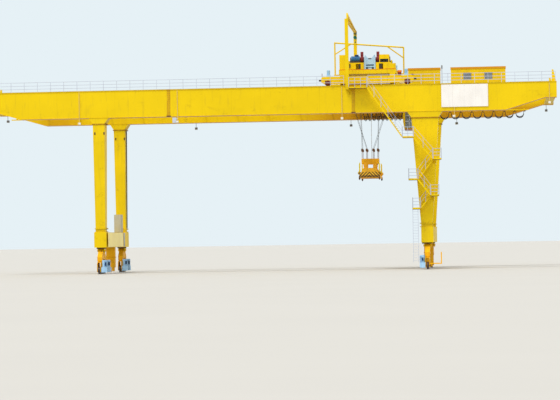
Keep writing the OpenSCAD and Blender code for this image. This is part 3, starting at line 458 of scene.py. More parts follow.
def plate_paint(name, colour):
    """Large white plate: sheet joints, faint clouds and faint runs of dirt."""
    f = Finish(name)
    runs = f.noise(f.stretched((9.0, 9.0, 0.5)), 1.0, 5.0, 0.6)
    clouds = f.noise(f.place, 1.2, 4.0)
    joint = 1.0 - ((f.axis("X") / 0.65).share() - 0.5).size().ramp(0.0, 0.008)
    mask = runs.ramp(0.52, 0.8) * 0.14
    base = f.mix(colour, tint(206, 202, 200), clouds.ramp(0.4, 0.8) * 0.3)
    base = f.mix(base, tint(150, 128, 104), mask)
    base = f.mix(base, tint(120, 116, 112), joint * 0.4)
    f.set(Base_Color=base, Roughness=0.42 + mask * 0.3)
    f.bump(joint + clouds * 0.3, 0.002, 0.5)
    return f.material


MADE = {}


def finishes():
    """All finishes by name, made at the first call."""
    made = MADE
    if made:
        return made
    c = bpy.context.scene.crane_colours
    yellow = rgba(c.steelwork)
    painted = {
        # finish: material, colour, dirt, rust, roughness
        "steelwork": ("steelwork_paint", yellow, 0.5, 0.25, 0.42),
        "bogies": ("bogie_paint", c.bogies, 1.0, 0.75, 0.5),
        "stairs": ("stair_paint", yellow, 0.4, 0.3, 0.42),
        "guides": ("guide_paint", c.guides, 0.45, 0.3, 0.42),
        "railings": ("railing_paint", c.railings, 0.25, 0.2, 0.4),
        "stair_rails": ("stair_rail_paint", shade(c.railings, 0.84), 0.4, 0.25, 0.45),
        "motors": ("motor_paint", c.motors, 0.45, 0.15, 0.42),
        "gearbox": ("gearbox_paint", c.gearbox, 0.5, 0.15, 0.42),
        "winch_motors": ("winch_motor_paint", c.winch_motors, 0.4, 0.1, 0.38),
        "deep_blue": ("deep_blue_paint", tint(34, 66, 108), 0.3, 0.1, 0.4),
        "brakes": ("brake_paint", c.brakes, 0.5, 0.4, 0.5),
        "cabinet": ("cabinet_paint", tint(186, 182, 160), 0.5, 0.2, 0.5),
        "panel": ("panel_paint", tint(255, 236, 150), 0.2, 0.1, 0.4),
        "hoist": ("hoist_paint", tint(34, 108, 96), 0.5, 0.2, 0.45),
        "orange": ("orange_paint", tint(226, 120, 26), 0.5, 0.2, 0.45),
    }
    for finish, (material, colour, *weather) in painted.items():
        made[finish] = painted_steel(material, rgba(colour), *weather)
    made["legs"] = painted_steel("leg_paint", yellow, 0.3, 0.2, joint=HEAD_Z - 0.02)
    roof_edge = (high("electrical_houses").z - 0.12, tint(206, 142, 26))
    made["houses"] = painted_steel("house_paint", rgba(c.houses), 0.3, 0.12, 0.38, above=roof_edge)
    rods = (ROPE_BLOCK_TOP - 0.54, tint(104, 74, 72))
    made["headblock"] = painted_steel("headblock_paint", rgba(c.spreader), 0.5, 0.4, 0.5, above=rods)
    walls = (low("operator_cabin").z + 0.1, shade(yellow, 0.9))
    made["cabin"] = painted_steel("cabin_paint", tint(158, 100, 24), 0.5, 0.2, 0.42, above=walls)
    made["girders"] = girder_paint("girder_paint", yellow)
    # Rear girder: painted shade on its low inner face
    made["rear_girder"] = girder_paint("rear_girder_paint", yellow, 0.7)
    made["lamp_pipes"] = lamp_pipe_paint("lamp_pipe_paint", tint(216, 194, 124), tint(126, 132, 140))
    made["spreader"] = striped_paint("spreader_paint", rgba(c.spreader), tint(74, 44, 26))
    made["plate"] = plate_paint("plate_paint", tint(244, 242, 240))
    worn = {
        # finish: material, colour, rust, metal, roughness
        "wheel_paint": ("trolley_wheel_paint", shade(c.brakes, 0.7), 0.5, 0.3, 0.5),
        "wheels": ("wheel_steel", tint(92, 88, 84), 0.7, 0.75, 0.38),
        "drum": ("drum_steel", tint(70, 68, 66), 0.3, 0.6, 0.4),
        "locks": ("lock_steel", tint(74, 54, 36), 0.8, 0.4, 0.5),
        "bolts": ("bolt_steel", tint(150, 128, 70), 0.5, 0.3, 0.45),
    }
    for finish, values in worn.items():
        made[finish] = worn_steel(*values)
    made["dark"] = rubber("dark_paint", tint(44, 42, 42))
    made["cable"] = rubber("cable_sheath", tint(24, 24, 26))
    made["rope"] = wire_rope("rope_wire")
    made["cabin_glass"] = tinted_glass("cabin_glass", tint(112, 124, 132), 0.5)
    made["window_glass"] = tinted_glass("window_glass", tint(96, 106, 118), 0.96)
    made["lamp"] = lamp_glass("lamp_glass")
    return made


NODE_FINISH = {
    "girders": ["front_girder"],
    "rear_girder": ["rear_girder"],
    "steelwork": ["end_ties", "end_stops", "service_gantry", "trolley_side_beams", "trolley_deck", "machinery_base",
                  "trolley_cabinets", "pipe_frame", "festoon_track"],
    "legs": ["left_legs", "right_legs", "sill_beams"],
    "bogies": ["equalizer_beams", "wheel_trucks"],
    "stairs": ["stair_landings", "stair_flights"],
    "houses": ["house_platform", "electrical_houses"],
    "headblock": ["headblock"],
    "spreader": ["spreader_frame"],
    "guides": ["left_flippers", "right_flippers"],
    "railings": ["girder_railings", "leg_ladder"],
    "stair_rails": ["stair_railings"],
    "lamp_pipes": ["floodlights"],
    "plate": ["sign_plate"],
    "cabinet": ["sill_cabinet"],
    "wheels": ["gantry_wheels", "trolley_rails"],
    "wheel_paint": ["left_trolley_wheels", "right_trolley_wheels"],
    "motors": ["gantry_drives", "travel_motors"],
    "winch_motors": ["hoist_motors"],
    "gearbox": ["hoist_gearbox"],
    "brakes": ["hoist_brakes"],
    "drum": ["hoist_drum"],
    "hoist": ["service_hoist"],
    "cable": ["trolley_buffers"],
    "cabin": ["operator_cabin"],
    "cabin_glass": ["cabin_glazing"],
    "locks": ["corner_locks"],
}


def finished(obj, finish, body=None):
    """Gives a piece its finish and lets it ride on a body."""
    if finish:
        obj.data.materials.clear()
        obj.data.materials.append(finishes()[finish])
    if body:
        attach(obj, body)
    return obj


def mesh_piece(name, points, faces):
    """A piece from its points and faces, linked to the scene."""
    mesh = bpy.data.meshes.new(name)
    mesh.from_pydata([tuple(p) for p in points], [], faces)
    mesh.validate()
    mesh.update()
    obj = bpy.data.objects.new(name, mesh)
    bpy.context.scene.collection.objects.link(obj)
    return obj


def boxes(name, corners, bevel=0.0):
    """One piece of several boxes, each between two opposite corners."""
    points, faces = [], []
    for a, b in corners:
        first = len(points)
        x, y, z = zip(a, b)
        x, y, z = sorted(x), sorted(y), sorted(z)
        points += [(x[i], y[j], z[k]) for i in (0, 1) for j in (0, 1) for k in (0, 1)]
        sides = [(0, 1, 3, 2), (4, 6, 7, 5), (0, 4, 5, 1), (2, 3, 7, 6), (0, 2, 6, 4), (1, 5, 7, 3)]
        faces += [tuple(first + i for i in side) for side in sides]
    obj = mesh_piece(name, points, faces)
    if bevel:
        tool = obj.modifiers.new("edges", "BEVEL")
        tool.width, tool.segments = bevel, 2
        settle(obj)
    return obj


def blocks(places, spans):
    """Opposite corners of boxes. Each span gives x0, x1, y0, y1, z0 and z1 as seen from each place."""
    return [
        ((x + x0, y + y0, z + z0), (x + x1, y + y1, z + z1))
        for x, y, z in places for x0, x1, y0, y1, z0, z1 in spans
    ]


def settle(obj):
    """Turns a piece and its modifiers into a plain mesh."""
    bpy.context.view_layer.update()
    result = bpy.data.meshes.new_from_object(obj.evaluated_get(bpy.context.evaluated_depsgraph_get()))
    obj.modifiers.clear()
    obj.data = result


def tube_rings(centres, radius, sides, directions):
    """Points of rings round centres, each across its direction."""
    points = []
    for centre, along in zip(centres, directions):
        along = Vector(along).normalized()
        side = along.cross(Vector((0, 0, 1)) if abs(along.z) < 0.9 else Vector((0, 1, 0))).normalized()
        up = along.cross(side)
        for k in range(sides):
            angle = math.tau * k / sides
            points.append(Vector(centre) + (side * math.cos(angle) + up * math.sin(angle)) * radius)
    return points


def tubes(name, lines, radius, sides=12, facing=None):
    """One piece of tubes along lines of points, with a UV map that runs round and along each.

    Rings stand across the line, or all face the direction facing.
    """
    points, faces, uvs = [], [], []
    for line in lines:
        line = [Vector(p) for p in line]
        count = len(line)
        if facing:
            directions = [Vector(facing)] * count
        else:
            directions = [line[min(k + 1, count - 1)] - line[max(k - 1, 0)] for k in range(count)]
        first = len(points)
        points += tube_rings(line, radius, sides, directions)
        run = [0.0]
        for a, b in zip(line, line[1:]):
            run.append(run[-1] + (b - a).length)
        for k in range(count - 1):
            for s in range(sides):
                t = (s + 1) % sides
                a, b = first + k * sides, first + (k + 1) * sides
                faces.append((a + s, b + s, b + t, a + t))
                u0, u1 = s / sides, (s + 1) / sides
                uvs.append([(u0, run[k]), (u0, run[k + 1]), (u1, run[k + 1]), (u1, run[k])])
        for ring, turn in ((first, 1), (first + (count - 1) * sides, -1)):
            cap = [ring + s for s in range(sides)][::turn]
            faces.append(tuple(cap))
            uvs.append([(0.5, 0.0)] * sides)
    obj = mesh_piece(name, points, faces)
    layer = obj.data.uv_layers.new(name="UVMap")
    for loop, uv in zip(layer.data, [uv for face in uvs for uv in face]):
        loop.uv = uv
    outwards(obj)
    for polygon in obj.data.polygons:
        polygon.use_smooth = len(polygon.vertices) == 4
    return obj


def outwards(obj):
    """Points every face of a closed piece outwards."""
    shape = bmesh.new()
    shape.from_mesh(obj.data)
    bmesh.ops.recalc_face_normals(shape, faces=shape.faces)
    shape.to_mesh(obj.data)
    shape.free()


def row_tree(name):
    """Node tree that sets a round part along the edges of a mesh, each turned to its facing vector."""
    tree = bpy.data.node_groups.new(name, "GeometryNodeTree")
    face = tree.interface
    face.new_socket("Lines", in_out="INPUT", socket_type="NodeSocketGeometry")
    kinds = {"Spacing": "Float", "Finish": "Material", "Radius": "Float", "Depth": "Float", "Sides": "Int"}
    for label, kind in kinds.items():
        face.new_socket(label, in_out="INPUT", socket_type=f"NodeSocket{kind}")
    face.new_socket("Parts", in_out="OUTPUT", socket_type="NodeSocketGeometry")

    def add(kind, settings=None, **sockets):
        return add_node(tree, kind, settings or {}, **sockets).outputs

    given = add("NodeGroupInput")
    curve = add("GeometryNodeMeshToCurve", Mesh=given["Lines"])[0]
    dots = add("GeometryNodeResampleCurve", {"mode": "LENGTH"}, Curve=curve, Length=given["Spacing"])[0]
    facing = add("GeometryNodeInputNamedAttribute", {"data_type": "FLOAT_VECTOR"}, Name="facing")[0]
    turn = add("FunctionNodeAlignRotationToVector", {"axis": "Z"}, Vector=facing)[0]
    sizes = {"Vertices": given["Sides"], "Radius": given["Radius"], "Depth": given["Depth"]}
    part = add("GeometryNodeMeshCylinder", **sizes)["Mesh"]
    placed = add("GeometryNodeInstanceOnPoints", Points=dots, Instance=part, Rotation=turn)[0]
    solid = add("GeometryNodeRealizeInstances", Geometry=placed)[0]
    painted = add("GeometryNodeSetMaterial", Geometry=solid, Material=given["Finish"])[0]
    add("NodeGroupOutput", Parts=painted)
    return tree


def rows(name, lines, finish, body, slot, spacing, **sizes):
    """One piece of round parts along lines. Each line is (start, end, facing), and sizes are the tree's inputs."""
    tree_name = "round_parts_in_rows"
    tree = bpy.data.node_groups.get(tree_name) or row_tree(tree_name)
    points, edges, facings = [], [], []
    for start, end, facing in lines:
        edges.append((len(points), len(points) + 1))
        points += [start, end]
        facings += [*facing, *facing]
    mesh = bpy.data.meshes.new(name)
    mesh.from_pydata(points, edges, [])
    attribute = mesh.attributes.new("facing", "FLOAT_VECTOR", "POINT")
    attribute.data.foreach_set("vector", facings)
    obj = bpy.data.objects.new(name, mesh)
    bpy.context.scene.collection.objects.link(obj)
    tool = obj.modifiers.new("rows", "NODES")
    tool.node_group = tree
    values = {"Spacing": spacing, "Finish": finishes()[finish], **sizes}
    for item in tree.interface.items_tree:
        if item.item_type == "SOCKET" and item.in_out == "INPUT" and item.name in values:
            tool[item.identifier] = values[item.name]
    settle(obj)
    if not obj.data.polygons:
        raise RuntimeError(f"{name}: the rows came out empty")
    return finished(obj, None, body)


class PieceOperator:
    """What all operators of the crane share."""

    bl_options = {"REGISTER", "UNDO"}


class CRANE_OT_frame_finishes(PieceOperator, bpy.types.Operator):
    """Give every CAD node its weathered finish"""

    bl_idname = "crane.frame_finishes"
    bl_label = "Frame finishes"

    def execute(self, context):
        done = set()
        for finish, nodes in NODE_FINISH.items():
            for name in nodes:
                if name not in NODES:
                    raise RuntimeError(f"no CAD node {name}")
                data = NODES[name].data
                data.materials.clear()
                data.materials.append(finishes()[finish])
                done.add(name)
        left = set(NODES) - done - {"hoist_ropes", "festoon_cable"}
        if left:
            raise RuntimeError(f"no finish for {sorted(left)}")
        return {"FINISHED"}


class CRANE_OT_girder_bolts(PieceOperator, bpy.types.Operator):
    """Set the bolt rows on the girders' splices and the sign plate, and the plates at the splices' feet"""

    bl_idname = "crane.girder_bolts"
    bl_label = "Girder bolts"

    def execute(self, context):
        d = context.scene.crane_details
        band = GIRDER_Y - INNER_Y - FLANGE_LIP + SPLICE_BAND
        bottom, top = GIRDER_BOTTOM + 0.1, GIRDER_TOP - 0.1
        splices = (-SPLICE_X, SPLICE_X)
        lines = []
        for side, face in CORNERS:
            y = side * GIRDER_Y + face * (band + 0.006)
            for x in [splice + offset for splice in splices for offset in (-0.04, 0.04)]:
                lines.append(((x, y, bottom), (x, y, top), (0, face, 0)))
        rows("splice_bolts", lines, "bolts", "structure", "crane_yellow", d.bolt_spacing,
             Radius=d.bolt_radius, Depth=0.014, Sides=6)
        a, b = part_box("sign_plate")
        y, edge = a.y - 0.003, 0.06
        lines = [((a.x + edge, y, z), (b.x - edge, y, z), (0, -1, 0)) for z in (a.z + edge, b.z - edge)]
        rows("plate_bolts", lines, "railings", "structure", "rail_grey", 0.4, Radius=0.012, Depth=0.008, Sides=6)
        feet = blocks([(x, -OUTER_Y, GIRDER_BOTTOM) for x in splices], [(-0.12, 0.12, -0.012, 0.02, -0.01, 0.045)])
        finished(boxes("splice_feet", feet, 0.003), "locks", "structure")
        return {"FINISHED"}


class CRANE_OT_leg_bolts(PieceOperator, bpy.types.Operator):
    """Set the bolts round the leg flanges"""

    bl_idname = "crane.leg_bolts"
    bl_label = "Leg bolts"

    def execute(self, context):
        lip = 0.025
        # How far a flange reaches to its low and its high X side, on the left and on the right legs
        foot = {-1: (0.275, 0.275), 1: (0.34, 0.305)}
        head = {-1: (0.335, 0.335), 1: (0.785, 0.73)}
        foot_depth, head_depth, foot_joint = 0.32 + lip, 0.44, 2.56
        flanges = (
            (SILL_TOP + 0.046, 1, foot, foot_depth),
            (foot_joint + 0.026, 1, foot, foot_depth),
            (foot_joint - 0.026, -1, foot, foot_depth),
            (HEAD_Z + 0.006, 1, head, head_depth),
            (HEAD_Z - 0.046, -1, head, head_depth),
        )
        lines = []
        for sx, sy in CORNERS:
            for z, facing, reach, depth in flanges:
                x0, x1 = sx * LEG_X - reach[sx][0] - lip, sx * LEG_X + reach[sx][1] + lip
                y0, y1 = sy * GIRDER_Y - depth, sy * GIRDER_Y + depth
                up = (0, 0, facing)
                lines += [((x0, y, z), (x1, y, z), up) for y in (y0, y1)]
                lines += [((x, y0, z), (x, y1, z), up) for x in (x0, x1)]
        rows("leg_flange_bolts", lines, "locks", "structure", "crane_yellow", 0.095,
             Radius=0.015, Depth=0.016, Sides=6)
        return {"FINISHED"}


class CRANE_OT_motor_fins(PieceOperator, bpy.types.Operator):
    """Set the cooling fins round the motors, and the terminal boxes on the drives"""

    bl_idname = "crane.motor_fins"
    bl_label = "Motor fins"

    def execute(self, context):
        d = context.scene.crane_details
        motor_x, truck_y = LEG_X - 0.2875, 0.6
        motors = [
            (sx * motor_x, sy * GIRDER_Y + truck - 0.25, high("gantry_drives").z)
            for sx, sy in CORNERS for truck in (-truck_y, truck_y)
        ]
        lines = [((x, y, top - 0.36), (x, y, top - 0.05), (0, 0, 1)) for x, y, top in motors]
        cases = blocks(motors, [(0.01, 0.1, -0.175, -0.1, -0.31, -0.13)])
        finished(boxes("drive_terminal_boxes", cases, 0.008), "deep_blue", "structure")
        rows("gantry_motor_fins", lines, "motors", "structure", "motor_blue", d.fin_spacing,
             Radius=0.137, Depth=0.008, Sides=32)
        a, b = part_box("travel_motors")
        foot, half = high("trolley_side_beams").z, 0.1
        lines = [
            ((x, y, foot + 0.15), (x, y, foot + 0.34), (0, 0, 1))
            for x in (a.x + half, b.x - half) for y in (a.y + half, b.y - half)
        ]
        rows("travel_motor_fins", lines, "motors", "trolley", "motor_blue", d.fin_spacing,
             Radius=0.098, Depth=0.007, Sides=28)
        a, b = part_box("hoist_motors")
        y, z = (a.y + b.y) / 2, b.z - 0.18
        end, length = 0.05, 0.44
        for name, x0, x1, finish in (
            ("left_winch_motor_fins", a.x + end, a.x + length, "winch_motors"),
            # The right motor's fins are dark: painted shade under its rain cover
            ("right_winch_motor_fins_in_painted_shade", b.x - length, b.x - end, "dark"),
        ):
            line = ((x0, y, z), (x1, y, z), (1, 0, 0))
            rows(name, [line], finish, "trolley", "motor_blue", d.fin_spacing, Radius=0.193, Depth=0.009, Sides=40)
        return {"FINISHED"}


class CRANE_OT_drum_windings(PieceOperator, bpy.types.Operator):
    """Wind the rope on the hoist drum"""

    bl_idname = "crane.drum_windings"
    bl_label = "Drum windings"

    def execute(self, context):
        inner, outer = 0.3, 1.08
        lines = [((DRUM.x + s * inner, 0, DRUM.z), (DRUM.x + s * outer, 0, DRUM.z), (1, 0, 0)) for s in SIDES]
        rows("drum_windings", lines, "wheels", "drum", "rope_steel", 0.021, Radius=0.27, Depth=0.013, Sides=44)
        return {"FINISHED"}


class CRANE_OT_ropes(PieceOperator, bpy.types.Operator):
    """Stretch the hoist ropes, the slanting ropes and the power cable between trolley and load"""

    bl_idname = "crane.ropes"
    bl_label = "Hoist ropes"

    def execute(self, context):
        radius = context.scene.crane_details.rope_radius
        end = ROPE_BLOCK_TOP + 0.001
        # Name, upper height and centre, then the distances from the centres above and below
        groups = (
            ("hoist_rope_lines", DRUM.z, LOAD_X, 0.6, 0.2693, 0.45, 0.48),
            ("steady_rope_lines", GIRDER_TOP + 0.019, TROLLEY_X, 1.29, 0.5, 0.19, 0.5),
        )
        for name, top, centre, x0, y0, x1, y1 in groups:
            lines = [[(centre + sx * x0, sy * y0, top), (LOAD_X + sx * x1, sy * y1, end)] for sx, sy in CORNERS]
            piece = finished(tubes(name, lines, radius, 12, (0, 0, -1)), "rope", None)
            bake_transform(piece)
            if name == "hoist_rope_lines":
                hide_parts("hoist_ropes")
        top, end = GIRDER_TOP + 0.03, high("spreader_frame").z - 0.02
        x = LOAD_X + 0.08
        line = tubes("power_cable", [[(x, 0, top), (x, 0, end)]], 0.013, 12, (0, 0, -1))
        line = finished(line, "railings", None)
        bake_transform(line)
        return {"FINISHED"}


class CRANE_OT_festoon(PieceOperator, bpy.types.Operator):
    """Hang the festoon cable in loops under its track"""

    bl_idname = "crane.festoon"
    bl_label = "Festoon cable"

    def execute(self, context):
        a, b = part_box("festoon_cable")
        y = (a.y + b.y) / 2
        radius, clip = 0.016, 0.012
        top = low("festoon_track").z - 0.06
        depth = top - a.z - radius
        # Widths of the loops from left to right, as shares of the track
        widths = [0.25] * 10 + [0.63] * 8 + [0.6] * 3
        scale = (b.x - a.x) / sum(widths)
        steps = 16
        route, hangers, x = [], [], a.x
        for share in widths:
            width = share * scale
            hangers.append(x)
            spread = 0.06 if width < 0.4 else 0.02
            route.append((x, top, 0.0))
            for k in range(steps + 1):
                turn = math.pi * k / steps
                drop = clip + (depth - clip) * math.sin(turn) ** 0.6
                route.append((x + width * (0.5 - 0.38 * math.cos(turn)), top - drop, spread))
            x += width
        hangers.append(x)
        route.append((x, top, 0.0))
        # Each cable's place in the bundle and how far its loops hang apart
        bundle = ((-0.033, 0), (-0.011, 3), (0.011, 1), (0.033, 4))
        lines = [
            [(px, y + offset, pz + turn * spread * (top - pz) / depth) for px, pz, spread in route]
            for offset, turn in bundle
        ]
        cable = finished(tubes("festoon_loops", lines, radius, 10), "cable", None)
        clamps = blocks([(x, y, top) for x in hangers], [(-0.02, 0.02, -0.04, 0.04, -0.03, 0.059)])
        carriers = finished(boxes("festoon_carriers", clamps, 0.003), "cable", None)
        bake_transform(carriers)
        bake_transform(cable)
        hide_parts("festoon_cable")
        return {"FINISHED"}


class CRANE_OT_house_windows(PieceOperator, bpy.types.Operator):
    """Glaze and bar the windows of the large electrical house"""

    bl_idname = "crane.house_windows"
    bl_label = "House windows"

    def execute(self, context):
        d = context.scene.crane_details
        face, sill = low("electrical_houses").y + 0.02, GIRDER_TOP + 0.725
        width, height, edge, proud = 0.5, 0.4, 0.022, 0.012
        windows = [(x, face, sill) for x in (HOUSE_X + 0.73, HOUSE_X + 1.97)]
        panes = blocks(windows, [(0, width, 0.03, 0.04, 0, height)])
        frames = blocks(windows, (
            (-edge, width + edge, -proud, 0, -edge, 0),
            (-edge, width + edge, -proud, 0, height, height + edge),
            (-edge, 0, -proud, 0, 0, height),
            (width, width + edge, -proud, 0, 0, height),
        ))
        bars, inset = [], 0.045
        for x, y, z in windows:
            y, z = y + proud, z + height / 2
            bars.append(((x + inset, y, z), (x + width - inset, y, z), (0, 0, 1)))
        finished(boxes("house_window_panes", panes), "window_glass", "structure")
        finished(boxes("house_window_frames", frames, 0.003), "houses", "structure")
        rows("house_window_bars", bars, "railings", "structure", "rail_grey", d.bar_spacing,
             Radius=0.007, Depth=height, Sides=8)
        return {"FINISHED"}


class CRANE_OT_lamps(PieceOperator, bpy.types.Operator):
    """Glaze the floodlights and hang the grey box beside a middle one"""

    bl_idname = "crane.lamps"
    bl_label = "Lamp glasses"

    def execute(self, context):
        lamps, tip_x, drop = [], 16.09, 0.365
        for x in (-tip_x, -LEG_X - 1.08, -4.7, 4.56, LEG_X + 1.62, tip_x):
            bottom = (GIRDER_TOP - TAPER_DROP if abs(x) == tip_x else GIRDER_BOTTOM) - drop
            for side in SIDES:
                lamps += blocks([(x, side * OUTER_Y, bottom)], (
                    (-0.065, 0.065, side * 0.01, side * 0.14, -0.012, 0),
                    (-0.06, 0.06, side * 0.15, side * 0.156, 0.02, 0.11),
                ))
        finished(boxes("lamp_glasses", lamps, 0.004), "lamp", "structure")
        speaker = blocks([(-4.7, -OUTER_Y, GIRDER_BOTTOM - 0.37)], (
            (-0.27, -0.06, -0.15, 0.02, 0, 0.3),
            (-0.07, 0.02, -0.1, -0.05, 0.2, 0.25),
        ))
        finished(boxes("girder_speaker", speaker, 0.01), "railings", "structure")
        return {"FINISHED"}


class CRANE_OT_headblock_sheaves(PieceOperator, bpy.types.Operator):
    """Set the rope sheaves in the headblock's rope blocks"""

    bl_idname = "crane.headblock_sheaves"
    bl_label = "Rope sheaves"

    def execute(self, context):
        lines, half, z = [], 0.046, ROPE_BLOCK_TOP - 0.08
        for sx, sy in CORNERS:
            for offset in (0.45, 0.19):
                x, y = LOAD_X + sx * offset, sy * 0.53
                lines.append(((x - half, y, z), (x + half, y, z), (1, 0, 0)))
        rows("rope_sheaves", lines, "dark", "spreader", "lock_brown", 0.03, Radius=0.062, Depth=0.014, Sides=24)
        return {"FINISHED"}


class CRANE_OT_trolley_trim(PieceOperator, bpy.types.Operator):
    """Add the deck's orange edge and the cabinet doors"""

    bl_idname = "crane.trolley_trim"
    bl_label = "Trolley trim"

    def execute(self, context):
        a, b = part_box("trolley_deck")
        strips = [((a.x, s * (b.y + 0.004), b.z - 0.03), (b.x, s * b.y, b.z - 0.002)) for s in SIDES]
        finished(boxes("deck_edge_strip", strips), "orange", "trolley")
        a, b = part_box("trolley_cabinets")
        thick, foot = 0.01, a.z + 0.03
        doors = [
            ((a.x + 0.03, a.y + 0.2 - thick, foot), (a.x + 0.37, a.y + 0.2, b.z - 0.03)),
            ((b.x - 0.58, a.y - thick, foot), (b.x - 0.04, a.y, a.z + 0.29)),
        ]
        finished(boxes("cabinet_doors", doors, 0.004), "steelwork", "trolley")
        return {"FINISHED"}


class CRANE_OT_winch_details(PieceOperator, bpy.types.Operator):
    """Set the motor beds, dark also as painted shade under the motors, and the terminal box, cable boxes and cooling
    slots of the hoist winch
    """

    bl_idname = "crane.winch_details"
    bl_label = "Winch details"

    def execute(self, context):
        a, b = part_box("hoist_gearbox")
        x = (a.x + b.x) / 2
        deck, stand = (x, a.y, a.z), (x, a.y, a.z + 0.5)
        for name, place, bevel, finish, slot, spans in (
            ("gearbox_slots", deck, 0.003, "deep_blue", "gearbox_blue", (
                (-0.22, 0.23, -0.006, 0.02, 0.315, 0.385),
                (-0.22, -0.11, -0.006, 0.02, 0.13, 0.24),
                (0.11, 0.23, -0.006, 0.02, 0.13, 0.24),
                (-0.1, 0.1, -0.006, 0.02, 0.2, 0.225),
            )),
            # Motor beds: dark feet under the motors, dark also as painted shade beneath them
            ("motor_beds_and_shade", stand, 0.006, "dark", "brake_red", (
                (-1.13, -0.53, 0.15, 0.555, 0.002, 0.115),
                (0.52, 0.69, 0.1, 0.555, 0.002, 0.14),
                (0.75, 0.88, 0.1, 0.555, 0.002, 0.14),
                (0.92, 1.03, 0.1, 0.555, 0.002, 0.14),
            )),
            ("terminal_box", stand, 0.012, "deep_blue", "motor_blue", [(-0.86, -0.65, 0.26, 0.44, 0.36, 0.475)]),
            ("cable_boxes", deck, 0.004, "dark", "brake_red", (
                (-1.17, -1.1, -0.02, -0.004, 0.2, 0.44),
                (-0.63, -0.522, 0.01, 0.13, 0.065, 0.425),
                (0.525, 0.69, 0.01, 0.13, 0.065, 0.42),
            )),
        ):
            finished(boxes(name, blocks([place], spans), bevel), finish, "trolley")
        return {"FINISHED"}


class CRANE_OT_side_beam_fittings(PieceOperator, bpy.types.Operator):
    """Set the wheel bearing covers, the grease pumps and the limit striker on the trolley's side beams"""

    bl_idname = "crane.side_beam_fittings"
    bl_label = "Side beam fittings"

    def execute(self, context):
        face, beam_top = high("trolley_side_beams").yz
        wheel_z = middle("left_trolley_wheels").z
        lines, hubs = [], []
        for node in ("left_trolley_wheels", "right_trolley_wheels"):
            x = middle(node).x
            for side in SIDES:
                y, y0, y1 = side * (face + 0.012), side * face, side * (face + 0.01)
                lines.append(((x, y, wheel_z), (x, y + side * 0.03, wheel_z), (0, side, 0)))
                hubs.append(((x - 0.16, y0, wheel_z - 0.1), (x + 0.16, y1, wheel_z + 0.1)))
        rows("bearing_covers", lines, "wheel_paint", "trolley", "brake_red", 0.03, Radius=0.115, Depth=0.03, Sides=32)
        finished(boxes("bearing_plates", hubs, 0.003), "wheel_paint", "trolley")
        at = (TROLLEY_X, -face + 0.06, beam_top)
        pumps = blocks([at], ((1.7, 1.9, 0, 0.16, -0.004, 0.17), (2.46, 2.59, 0, 0.16, -0.004, 0.085)))
        finished(boxes("grease_pumps", pumps, 0.02), "brakes", "trolley")
        tank = blocks([at], [(1.68, 1.92, -0.01, 0.17, 0.17, 0.3)])
        finished(boxes("grease_tank", tank, 0.03), "orange", "trolley")
        x, y, foot = TROLLEY_X - 2.56, at[1] + 0.05, beam_top - 0.004
        striker = tubes("limit_striker", [[(x, y, foot), (x, y, beam_top + 0.2)]], 0.015, 12)
        finished(striker, "brakes", "trolley")
        return {"FINISHED"}


class CRANE_OT_cabin_bars(PieceOperator, bpy.types.Operator):
    """Divide the cabin's side windows with bars"""

    bl_idname = "crane.cabin_bars"
    bl_label = "Cabin window bars"

    def execute(self, context):
        a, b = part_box("cabin_glazing")
        sill = low("operator_cabin").z + 0.12
        front = a.x + 0.12
        bars = []
        for y0, y1 in ((a.y - 0.006, a.y + 0.004), (b.y - 0.004, b.y + 0.006)):
            for share in (0.3, 0.62):
                x = front + (b.x - front) * share
                bars.append(((x - 0.012, y0, sill), (x + 0.012, y1, b.z)))
            for share in (0.36, 0.68):
                z = sill + (b.z - sill) * share
                bars.append(((front - 0.005, y0, z - 0.014), (b.x, y1, z + 0.014)))
        finished(boxes("cabin_window_bars", bars, 0.002), "railings", "trolley")
        return {"FINISHED"}


class CRANE_OT_leg_trim(PieceOperator, bpy.types.Operator):
    """Set the lugs and the cable duct on the slim legs"""

    bl_idname = "crane.leg_trim"
    bl_label = "Leg trim"

    def execute(self, context):
        places = [(-LEG_X + x, sy * GIRDER_Y - 0.405, 7.86) for sy in SIDES for x in (-0.29, 0.23)]
        lugs = blocks(places, [(0, 0.07, -0.03, 0.01, 0, 0.14)])
        finished(boxes("leg_lugs", lugs, 0.006), "locks", "structure")
        y = GIRDER_Y - 0.1
        duct = [[(-LEG_X + 0.35, y, 8.4), (-LEG_X + 0.3, y, 2.62)]]
        finished(tubes("leg_duct", duct, 0.028, 10), "cable", "structure")
        return {"FINISHED"}


class CRANE_OT_sill_trim(PieceOperator, bpy.types.Operator):
    """Set the pale panel and the pipes on the left sill beam, and the shields over the bogies' pins"""

    bl_idname = "crane.sill_trim"
    bl_label = "Sill trim"

    def execute(self, context):
        half_sill = high("sill_beams").x - LEG_X
        face, foot = half_sill - LEG_X, SILL_TOP - 0.82
        sheets = blocks([(face, -3.95 + 1.08 * k, foot) for k in range(5)], [(0, 0.018, 0, 1.07, 0, 0.8)])
        finished(boxes("sill_panel", sheets, 0.006), "panel", "structure")
        x = face + 0.024
        pipes = [[(x, y, SILL_TOP - 0.01), (x, y, foot)] for y in (1.7, 1.84, 1.98)]
        finished(tubes("sill_pipes", pipes, 0.022, 12), "railings", "structure")
        pins = [(sx * LEG_X, sy * GIRDER_Y - 0.3, SILL_TOP - SILL_DEPTH) for sx, sy in CORNERS]
        shields = blocks(pins, [(-0.27, 0.27, -0.02, 0, -0.07, 0.002)])
        finished(boxes("bogie_shields", shields, 0.003), "locks", "structure")
        return {"FINISHED"}


